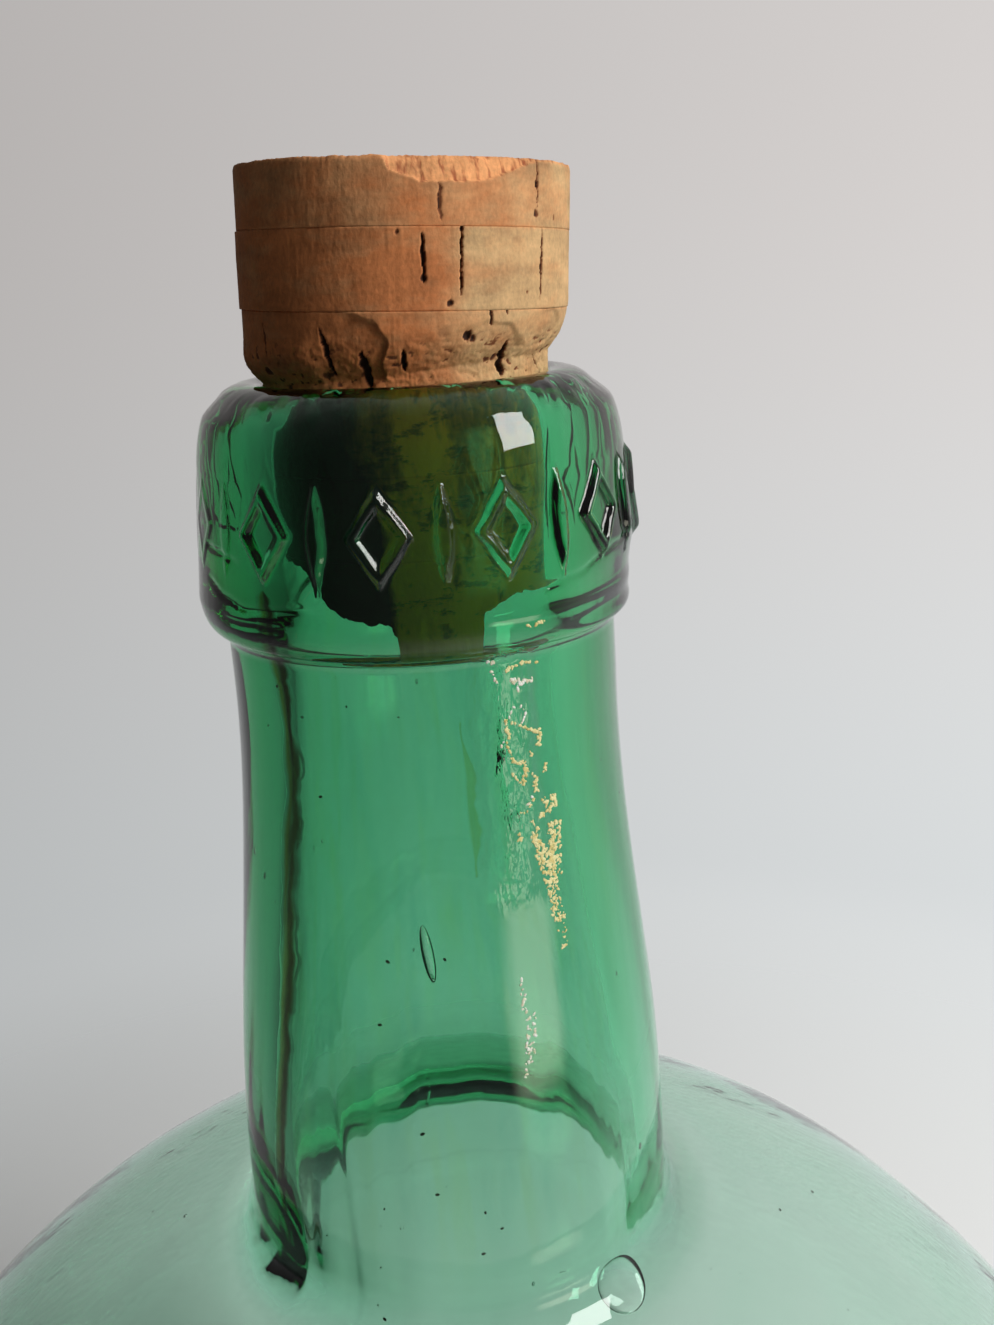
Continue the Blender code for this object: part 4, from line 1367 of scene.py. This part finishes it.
def stain_and_shade_at(number, bearing):
    """How stained a layer is, with painted shade: browner on its shaded sides and paler at the lit
    front right.
    """
    start, width = (66.0, 16.0) if number == 2 else (56.0, 34.0)
    shade = smooth_step((-start - bearing) / width if bearing < 0.0 else (bearing - 110.0) / 50.0)
    lit, shaded = STAIN_AND_SHADE_SHARES.get(number, (0.0, 1.0))
    lit *= 1.0 - 0.6 * smooth_step((bearing + 62.0) / 24.0)
    return lit + (shaded - lit) * shade


def cork_spot(stopper, bottle, number, marks, angle, low, high, share):
    """A point on the side of a layer, with its pit, its fresh cut and painted highlight, and its
    stain and painted shade values.
    """
    z = low + (high - low) * share
    height = above_crease(z)
    cosine, sine = math.cos(angle), math.sin(angle)
    bearing = degrees_round(cosine, sine)
    arc_scale = math.radians(stopper.head_radius / MM)
    radius = layer_radius(stopper, bottle, number, angle, z)
    set_in = smooth_step((z - MOUTH_HEIGHT) / stopper.lean_height)
    tilt = math.tan(stopper.lean) * set_in
    leaned = height - tilt * radius * cosine
    spot = Vector((radius * cosine, radius * sine, height))
    drawn = wave(spot.x * 1.1, spot.y * 1.1, spot.z * 0.35 + 9.0 * number)
    fine = wave(spot.x * 3.1, spot.y * 3.1, spot.z * 1.1)
    pit = marks_depth(number, marks, bearing, leaned, arc_scale)
    depth = pit + stopper.grain / MM * (0.9 * drawn + 0.6 * fine)
    fresh = 0.0
    if number == 1:
        chipped, fresh = chip_marks(stopper, bearing, height, leaned)
        depth += chipped
        pit = pit * (1.0 - fresh)
        # Painted highlight: a lighter rim of freshly cut cork along the top edge, where light
        # catches it
        rough_rim = max(0.12, 0.5 + 0.6 * wave(bearing * 0.35, 2.0, 0.0))
        top_gap = above_crease(high) - height
        fresh = max(fresh, 0.8 * (1.0 - smooth_step(top_gap / rough_rim)))
        depth += 0.12 * (1.0 - smooth_step(top_gap / 0.5))
    elif number <= DRY_LAYERS:
        # The cut upper edge is lighter: cleaner cork, and a painted highlight line under the joint
        fresh = 0.4 * (1.0 - smooth_step((high - z) / (0.3 * MM)))
    if number == 2:
        depth -= PROUD_EDGE * smooth_step((-60.0 - bearing) / 60.0)
    if number == 3:
        depth += scoop_depth(bearing, leaned, spot, arc_scale)
        torn = smooth_step((TORN_TOP - leaned) / 5.0)
        flake = abs(wave(spot.x * 0.7, spot.y * 0.7, spot.z * 1.3))
        flake += 0.5 * abs(wave(spot.x * 1.9, spot.y * 1.9, spot.z * 2.9))
        depth += TORN_DEPTH * torn * flake
        pit = max(pit, 0.22 * torn * smooth_step((flake - 0.5) / 0.3))
    if number > DRY_LAYERS:
        speck = wave(spot.x * 1.3, spot.y * 1.3, spot.z * 0.5 + number)
        pit = 0.16 * smooth_step((speck - 0.36) / 0.3)
        depth += 0.3 * pit + 0.08 * abs(drawn)
    # The edges are worn, more where a joint has opened
    edge = min(share, 1.0 - share) * (high - low)
    open_joint = max(0.0, wave(bearing * 0.07, number * 5.0, round(share)))
    worn = stopper.edge_round * (0.3 + 2.0 * open_joint)
    if edge < worn:
        depth += (1.0 - math.sqrt(1.0 - (1.0 - edge / worn) ** 2)) * worn / MM
    radius = (radius - depth) * MM
    x, y = radius * cosine, radius * sine
    point = (x + stopper.sideways * set_in + tilt * (z - MOUTH_HEIGHT), y, z - tilt * x)
    return point, min(1.0, pit / DARK_PIT), fresh, stain_and_shade_at(number, bearing)


def layer_ring(stopper, bottle, number, marks, low, high, facets, share):
    """One ring of points on the side of a layer, at a share of its height."""
    ring = []
    for i in range(facets):
        angle = 2 * math.pi * i / facets
        bearing = degrees_round(math.cos(angle), math.sin(angle))
        floor, ceiling = low, high
        if number == 1:
            # The cut top isn't quite level
            ceiling -= 0.24 * MM * abs(wave(bearing * 0.09, 5.0, 0.0))
            ceiling -= 0.14 * MM * abs(wave(bearing * 0.45, 6.0, 0.0))
        if number == LAYERS:
            ragged = 0.5 * wave(bearing * 0.3, 0.0, 1.0) + 0.3 * wave(bearing * 1.1, 0.0, 2.0)
            broken = (between(BROKEN_FOOT, bearing) + ragged) * MM
            floor = max(low, CREASE_HEIGHT + broken)
        ring.append(cork_spot(stopper, bottle, number, marks, angle, floor, ceiling, share))
    return ring


# Inner rings of a flat face that shows, and of one that is hidden, as shares of its radius
OPEN_FACE = (0.985, 0.95, 0.9, 0.83, 0.75, 0.66, 0.56, 0.45, 0.34, 0.22, 0.1)
HIDDEN_FACE = (0.97, 0.8, 0.45)
TOP_ROUGHNESS = 0.10 * MM


def flat_face(number, ring, shares, roughness):
    """Rings of points of a flat face, from just inside the side in to the axis."""
    rows = []
    middle = sum((Vector(spot[0]) for spot in ring), Vector()) / len(ring)
    for share in shares:
        row = []
        for point, _, fresh, stain in ring[::1 if share > 0.5 else 3]:
            spot = middle.lerp(Vector(point), share)
            ripple = noise.noise(spot * 900.0) + 0.5 * noise.noise(spot * 2300.0)
            pore = abs(noise.noise(spot * 420.0 + Vector((3.0, 0.0, number))))
            hollow = 1.0 - smooth_step(pore / 0.05)
            inner = smooth_step((1.0 - share) / 0.12)
            spot.z -= roughness * (abs(ripple) + 2.0 * hollow) * inner
            row.append((tuple(spot), hollow * inner * 0.8, fresh * (1.0 - inner), stain * 0.6))
        rows.append(row)
    rows.append([((middle.x, middle.y, middle.z - roughness), 0.0, 0.0, 0.3)])
    return rows


def cork_layer_mesh(stopper, bottle, number, marks):
    """One round layer of the stopper as rings of points: lower face, side and upper face."""
    dry = number <= DRY_LAYERS
    facets, steps = (HEAD_FACETS, HEAD_STEPS) if dry else (PLUG_FACETS, PLUG_STEPS)
    low, high = LAYER_BOXES[number][0].z, LAYER_BOXES[number][1].z
    # The solids stand a fit gap apart; these layers close it down to the glue line
    spread = (FIT_GAP - stopper.glue_line) / 2
    low -= spread if number < LAYERS else 0.0
    high += spread if number > 1 else 0.0
    if number == 1:
        # The leaning top stays level with the top of its solid
        high -= math.tan(stopper.lean) * stopper.head_radius
    sides = [layer_ring(stopper, bottle, number, marks, low, high, facets, step / steps)
             for step in range(steps + 1)]
    upper = flat_face(number, sides[-1], *((OPEN_FACE, TOP_ROUGHNESS) if number == 1
                                           else (HIDDEN_FACE, 0.0)))
    lower = flat_face(number, sides[0], OPEN_FACE if number == LAYERS else HIDDEN_FACE, 0.0)
    rows = lower[::-1] + sides + upper
    points, *values = ([[spot[place] for spot in row] for row in rows] for place in range(4))
    return turned_mesh(f"cork_{number}", points, dict(zip(("pit", "fresh", "stain"), values)))


def cork_grain_group():
    """Shader group for what dry and soaked cork share: fibre streaks, growth bands and speckle."""
    tree = bpy.data.node_groups.new("cork_grain", "ShaderNodeTree")
    tree.interface.new_socket(name="Vector", in_out="INPUT", socket_type="NodeSocketVector")
    contrast = tree.interface.new_socket(name="Contrast", in_out="INPUT",
                                         socket_type="NodeSocketFloat")
    contrast.default_value = 1.0
    for name in ("Tone", "Height"):
        tree.interface.new_socket(name=name, in_out="OUTPUT", socket_type="NodeSocketFloat")
    given = add_node(tree, "NodeGroupInput").outputs
    result = add_node(tree, "NodeGroupOutput").inputs
    fibre = grain_noise(tree, given["Vector"], 1100.0, (1.0, 1.0, 0.25), 3.0)
    bands = grain_noise(tree, given["Vector"], 520.0, (0.16, 0.16, 1.0), 3.0, 0.6)
    speckle = grain_noise(tree, given["Vector"], 2200.0, (1.0, 1.0, 0.8), 3.0, 0.6)
    mottle = grain_noise(tree, given["Vector"], 230.0, (0.8, 0.8, 1.2), 4.0, 0.6)
    tone = times(tree, fibre, 0.16)
    for pattern, weight in ((bands, 0.45), (speckle, 0.46), (mottle, 0.72)):
        tone = calc(tree, "MULTIPLY_ADD", pattern, weight, tone)
    # The weights' mean, so that a tone of 1 leaves the colour as it is
    swing = calc(tree, "SUBTRACT", tone, 0.895)
    feed(tree, result["Tone"], calc(tree, "MULTIPLY_ADD", swing, given["Contrast"], 1.0))
    rough = calc(tree, "MULTIPLY_ADD", speckle, 0.6, times(tree, fibre, 0.25))
    feed(tree, result["Height"], calc(tree, "MULTIPLY_ADD", bands, 0.5, rough))
    return tree


TORN_FIBRES = (0.40, 0.12, 0.05)
PIT_RIM = (0.22, 0.075, 0.03)
CORK_BUMP = 0.14 * MM


def cork_material(name, finish, grain):
    """Dry cork: tan to red-brown, with dark slits and lighter broken faces, browner where shade is
    painted and lighter along painted highlights on the top edges.
    """
    material, tree, shader, place = new_material(name)
    pit, fresh, stain = (attribute_value(tree, key) for key in ("pit", "fresh", "stain"))
    out = add_node(tree, "ShaderNodeGroup", {"Vector": place, "Contrast": 1.35},
                   node_tree=grain).outputs
    clouds = grain_noise(tree, place, 170.0, (0.8, 0.8, 1.5), 4.0, 0.62)
    # Stain and painted shade, broken up by clouds, turn the tan cork brown
    uneven = calc(tree, "ADD", stain, calc(tree, "MULTIPLY_ADD", clouds, 1.7, -0.82), clamp=True)
    colour = blend_colours(tree, uneven, finish.cork_tan, finish.cork_brown)
    fibres = grain_noise(tree, place, 1700.0, (1.0, 1.0, 0.05), 2.0)
    torn = blend_colours(tree, ramp(tree, fibres, 0.45, 0.75), finish.cork_fresh_and_highlight, TORN_FIBRES)
    colour = scale_vector(tree, blend_colours(tree, fresh, colour, torn), out["Tone"])
    colour = blend_colours(tree, ramp(tree, pit, 0.05, 0.45), colour, PIT_RIM)
    colour = blend_colours(tree, ramp(tree, pit, 0.35, 0.9), colour, finish.cork_bark)
    feed_inputs(tree, shader, {
        "Base Color": colour, "Specular IOR Level": 0.25,
        "Roughness": calc(tree, "MULTIPLY_ADD", out["Height"], 0.15, 0.72),
        "Normal": bump(tree, out["Height"], CORK_BUMP, 0.7)})
    return material


# Heights between which the edge of the soaked side, darkened also by painted shade, goes from sharp
# to gentle, and its far end
SOAK_SHADE_FADE = (14.0, 28.0)
SOAK_SHADE_END = 20.0


def soaked_cork_material(name, finish, grain):
    """Cork inside the mouth: orange-brown where the glass lights it, nearly black on its left,
    where it is soaked and shade is painted.
    """
    material, tree, shader, place = new_material(name)
    bearing, height = bearing_and_height(tree, place)
    out = add_node(tree, "ShaderNodeGroup", {"Vector": place, "Contrast": 1.2},
                   node_tree=grain).outputs
    streaks = grain_noise(tree, place, 240.0, (1.0, 1.0, 0.35), 4.0, 0.65)
    # The soaked side, dark also with painted shade, ends sharply low down and fades out gently near
    # the mouth
    gentle = ramp(tree, height, *SOAK_SHADE_FADE, 2.2, 14.0)
    middle = ramp(tree, height, *SOAK_SHADE_FADE, 99.5, 105.0)
    beyond = calc(tree, "ADD", calc(tree, "MULTIPLY_ADD", streaks, 9.0, -4.5),
                  calc(tree, "ADD", bearing, middle))
    soak_and_shade = times(tree, ramp(tree, calc(tree, "DIVIDE", beyond, gentle), -1.0, 1.0, 1.0, 0.0),
                   calc(tree, "LESS_THAN", bearing, SOAK_SHADE_END))
    cracks = grain_noise(tree, place, 330.0, (0.55, 0.55, 1.3), 4.0, 0.7)
    blotch = times(tree, ramp(tree, streaks, 0.32, 0.62, 0.45, 1.6),
                   ramp(tree, height, 4.0, 20.0, 1.4, 1.0),
                   ramp(tree, cracks, 0.36, 0.50, 0.35, 1.1), out["Tone"])
    light = scale_vector(tree, finish.wet_light, calc(tree, "MINIMUM", blotch, 1.5))
    colour = blend_colours(tree, soak_and_shade, light, finish.wet_dark_and_shade)
    pit = ramp(tree, attribute_value(tree, "pit"), 0.2, 0.9)
    feed_inputs(tree, shader, {
        "Base Color": blend_colours(tree, pit, colour, finish.wet_dark_and_shade), "Specular IOR Level": 0.3,
        "Roughness": calc(tree, "MULTIPLY_ADD", out["Height"], 0.2, 0.5),
        "Normal": bump(tree, out["Height"], CORK_BUMP, 0.7)})
    return material


class DEMIJOHN_OT_stopper(bpy.types.Operator):
    """Cut the six glued layers of the cork stopper"""

    bl_idname = "demijohn.stopper"
    bl_label = "Cork stopper"

    def execute(self, context):
        stopper = context.scene.demijohn_stopper
        bottle = context.scene.demijohn_bottle
        finish = context.scene.demijohn_finish
        grain = cork_grain_group()
        dry = cork_material("dry_cork", finish, grain)
        soak_and_shade = soaked_cork_material("soaked_cork", finish, grain)
        marks = add_random_marks()
        for number in LAYER_BOXES:
            mesh = cork_layer_mesh(stopper, bottle, number, marks)
            piece = new_piece(f"stopper_layer_{number}", mesh,
                              dry if number <= DRY_LAYERS else soak_and_shade)
            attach(piece, "stopper")
            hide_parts(f"cork_layer_{number}")
        return {"FINISHED"}


def world_light(scene):
    """Pale backdrop that the camera, gloss and glass see, and a dimmer fill on matt surfaces."""
    world = bpy.data.worlds.new("studio")
    scene.world = world
    world.use_nodes = True
    tree = world.node_tree
    tree.nodes.clear()
    x, y, z = split(tree, add_node(tree, "ShaderNodeTexCoord").outputs["Generated"])
    rays = add_node(tree, "ShaderNodeLightPath").outputs
    # Brighter to the right, and dim behind the camera where it only shows as a reflection
    behind = calc(tree, "MULTIPLY_ADD", rays["Is Glossy Ray"], -0.50, 0.72)
    level = times(tree, calc(tree, "MULTIPLY_ADD", x, 0.30, 0.585),
                  ramp(tree, y, -0.75, 0.25, behind, 1.0), ramp(tree, x, -1.0, -0.55, 0.45, 1.0),
                  ramp(tree, z, -0.40, 0.20, 1.02, 0.90))
    level = calc(tree, "MAXIMUM", level, times(tree, rays["Is Camera Ray"], 0.42))
    through = calc(tree, "MULTIPLY_ADD", rays["Is Transmission Ray"], 0.05, 1.0)
    tone = blend_colours(tree, ramp(tree, z, -0.48, 0.10), (0.965, 1.0, 1.01), (1.035, 0.99, 0.97))
    seen = add_node(tree, "ShaderNodeBackground", {
        "Color": tone, "Strength": times(tree, level, through)})
    fill = add_node(tree, "ShaderNodeBackground", {
        "Color": (1.0, 0.96, 0.92, 1.0), "Strength": calc(tree, "MULTIPLY_ADD", x, 0.07, 0.085)})
    mix = add_node(tree, "ShaderNodeMixShader", {
        0: rays["Is Diffuse Ray"], 1: seen.outputs[0], 2: fill.outputs[0]})
    add_node(tree, "ShaderNodeOutputWorld", {"Surface": mix.outputs[0]})


# Lamps: name, azimuth and elevation in degrees from the collar, width, height and colour
LAMPS = (
    ("window", -32.0, 25.0, 0.40, 0.52, (1.0, 0.985, 0.96)),
    ("room", -30.0, 34.0, 0.80, 0.80, (1.0, 0.97, 0.93)),
    ("sill", -43.0, -20.0, 0.62, 0.28, (1.0, 0.93, 0.74)),
)
LAMP_REACH = 1.1


def area_lamp(name, azimuth, elevation, width, height, colour, power):
    """A rectangular lamp that looks at the collar."""
    a, e = math.radians(azimuth), math.radians(elevation)
    direction = Vector((math.cos(e) * math.cos(a), math.cos(e) * math.sin(a), math.sin(e)))
    data = bpy.data.lights.new(name, "AREA")
    data.shape = "RECTANGLE"
    data.size = width
    data.size_y = height
    data.energy = power
    data.color = colour
    lamp = bpy.data.objects.new(name, data)
    lamp.location = Vector((0.0, 0.0, CREASE_HEIGHT)) + direction * LAMP_REACH
    lamp.rotation_euler = direction.to_track_quat("Z", "Y").to_euler()
    bpy.context.scene.collection.objects.link(lamp)
    return lamp


def soften_lamp(lamp):
    """Let an area lamp fade out towards its edges."""
    lamp.data.use_nodes = True
    tree = lamp.data.node_tree
    spot = split(tree, add_node(tree, "ShaderNodeNewGeometry").outputs["Parametric"])
    across, up = (patch(tree, place, 0.14, 0.86, 0.13) for place in spot[:2])
    feed(tree, tree.nodes["Emission"].inputs["Strength"], times(tree, across, up, 2.7))


def floor_material():
    """Pale paper that takes shadows near the bottle and fades into the backdrop further out."""
    material = bpy.data.materials.new("pale_floor")
    material.use_nodes = True
    tree = material.node_tree
    tree.nodes.clear()
    place = add_node(tree, "ShaderNodeTexCoord").outputs["Object"]
    reach = add_node(tree, "ShaderNodeVectorMath", {0: place}, operation="LENGTH")
    paper = add_node(tree, "ShaderNodeBsdfDiffuse", {"Color": (0.80, 0.80, 0.79, 1.0)})
    # Painted light: a glow, brighter to the right where the window lights the backdrop, only where
    # the camera, gloss or glass looks at it
    diffuse_ray = add_node(tree, "ShaderNodeLightPath").outputs["Is Diffuse Ray"]
    looked_at = calc(tree, "SUBTRACT", 1.0, diffuse_ray, clamp=True)
    level = ramp(tree, split(tree, place)[0], -0.35, 0.35, 0.03, 0.42)
    glow = add_node(tree, "ShaderNodeEmission", {
        "Color": (0.97, 1.0, 1.0, 1.0), "Strength": times(tree, level, looked_at)})
    both = add_node(tree, "ShaderNodeAddShader", {0: paper.outputs[0], 1: glow.outputs[0]})
    clear = add_node(tree, "ShaderNodeBsdfTransparent")
    mix = add_node(tree, "ShaderNodeMixShader", {
        0: ramp(tree, reach.outputs["Value"], 0.20, 0.60), 1: both.outputs[0],
        2: clear.outputs[0]})
    add_node(tree, "ShaderNodeOutputMaterial", {"Surface": mix.outputs[0]})
    return material


SENSOR_WIDTH = 36.0
FLOOR_FACETS = 96


def add_camera(scene, sizes):
    """The photograph's own camera, fitted to the bottle's outline."""
    pitch, yaw, roll = sizes.camera_pitch, sizes.camera_yaw, sizes.camera_roll
    ahead = Vector((math.sin(yaw) * math.cos(pitch), math.cos(yaw) * math.cos(pitch),
                    -math.sin(pitch)))
    level = Vector((math.cos(yaw), -math.sin(yaw), 0.0))
    above = level.cross(ahead)
    across = level * math.cos(roll) + above * math.sin(roll)
    up = above * math.cos(roll) - level * math.sin(roll)
    data = bpy.data.cameras.new("camera")
    data.lens = sizes.lens
    data.sensor_width = SENSOR_WIDTH
    data.clip_start = 10 * MM
    camera = bpy.data.objects.new("camera", data)
    turn = Matrix((across, up, -ahead)).transposed()
    place = Vector((0.0, -sizes.camera_reach, CREASE_HEIGHT + sizes.camera_rise))
    camera.matrix_world = Matrix.Translation(place) @ turn.to_4x4()
    scene.collection.objects.link(camera)
    scene.camera = camera


class DEMIJOHN_OT_stage(bpy.types.Operator):
    """Set up the camera, the lamps, the floor and the pale backdrop"""

    bl_idname = "demijohn.stage"
    bl_label = "Stage"

    def execute(self, context):
        scene = context.scene
        sizes = scene.demijohn_stage
        scene.view_settings.view_transform = "Standard"
        add_camera(scene, sizes)
        world_light(scene)
        lamps = {lamp[0]: area_lamp(*lamp, getattr(sizes, f"{lamp[0]}_light")) for lamp in LAMPS}
        lamps["room"].visible_glossy = False
        lamps["room"].visible_transmission = False
        soften_lamp(lamps["sill"])
        bm = bmesh.new()
        bmesh.ops.create_circle(bm, cap_ends=True, segments=FLOOR_FACETS, radius=sizes.floor_radius)
        mesh = bpy.data.meshes.new("floor")
        bm.to_mesh(mesh)
        bm.free()
        new_piece("floor", mesh, floor_material())
        return {"FINISHED"}


class DEMIJOHN_PT_panel(bpy.types.Panel):
    bl_label = "Demijohn"
    bl_idname = "DEMIJOHN_PT_panel"
    bl_space_type = "VIEW_3D"
    bl_region_type = "UI"
    bl_category = "Demijohn"

    def draw(self, context):
        for operator in OPERATORS:
            self.layout.operator(operator.bl_idname)


GROUPS = {
    "demijohn_bottle": BottleSizes,
    "demijohn_collar": CollarSizes,
    "demijohn_stopper": StopperSizes,
    "demijohn_finish": FinishColours,
    "demijohn_stage": StageSizes,
}
OPERATORS = (DEMIJOHN_OT_stage, DEMIJOHN_OT_bottle, DEMIJOHN_OT_traces, DEMIJOHN_OT_stopper)


def register():
    for cls in (*GROUPS.values(), *OPERATORS, DEMIJOHN_PT_panel):
        bpy.utils.register_class(cls)
    for name, cls in GROUPS.items():
        setattr(bpy.types.Scene, name, PointerProperty(type=cls))


def unregister():
    for name in GROUPS:
        delattr(bpy.types.Scene, name)
    for cls in (DEMIJOHN_PT_panel, *reversed(OPERATORS), *reversed(GROUPS.values())):
        bpy.utils.unregister_class(cls)


def main():
    register()
    bpy.ops.demijohn.stage()
    bpy.ops.demijohn.bottle()
    bpy.ops.demijohn.traces()
    bpy.ops.demijohn.stopper()


if __name__ == "__main__":
    main()
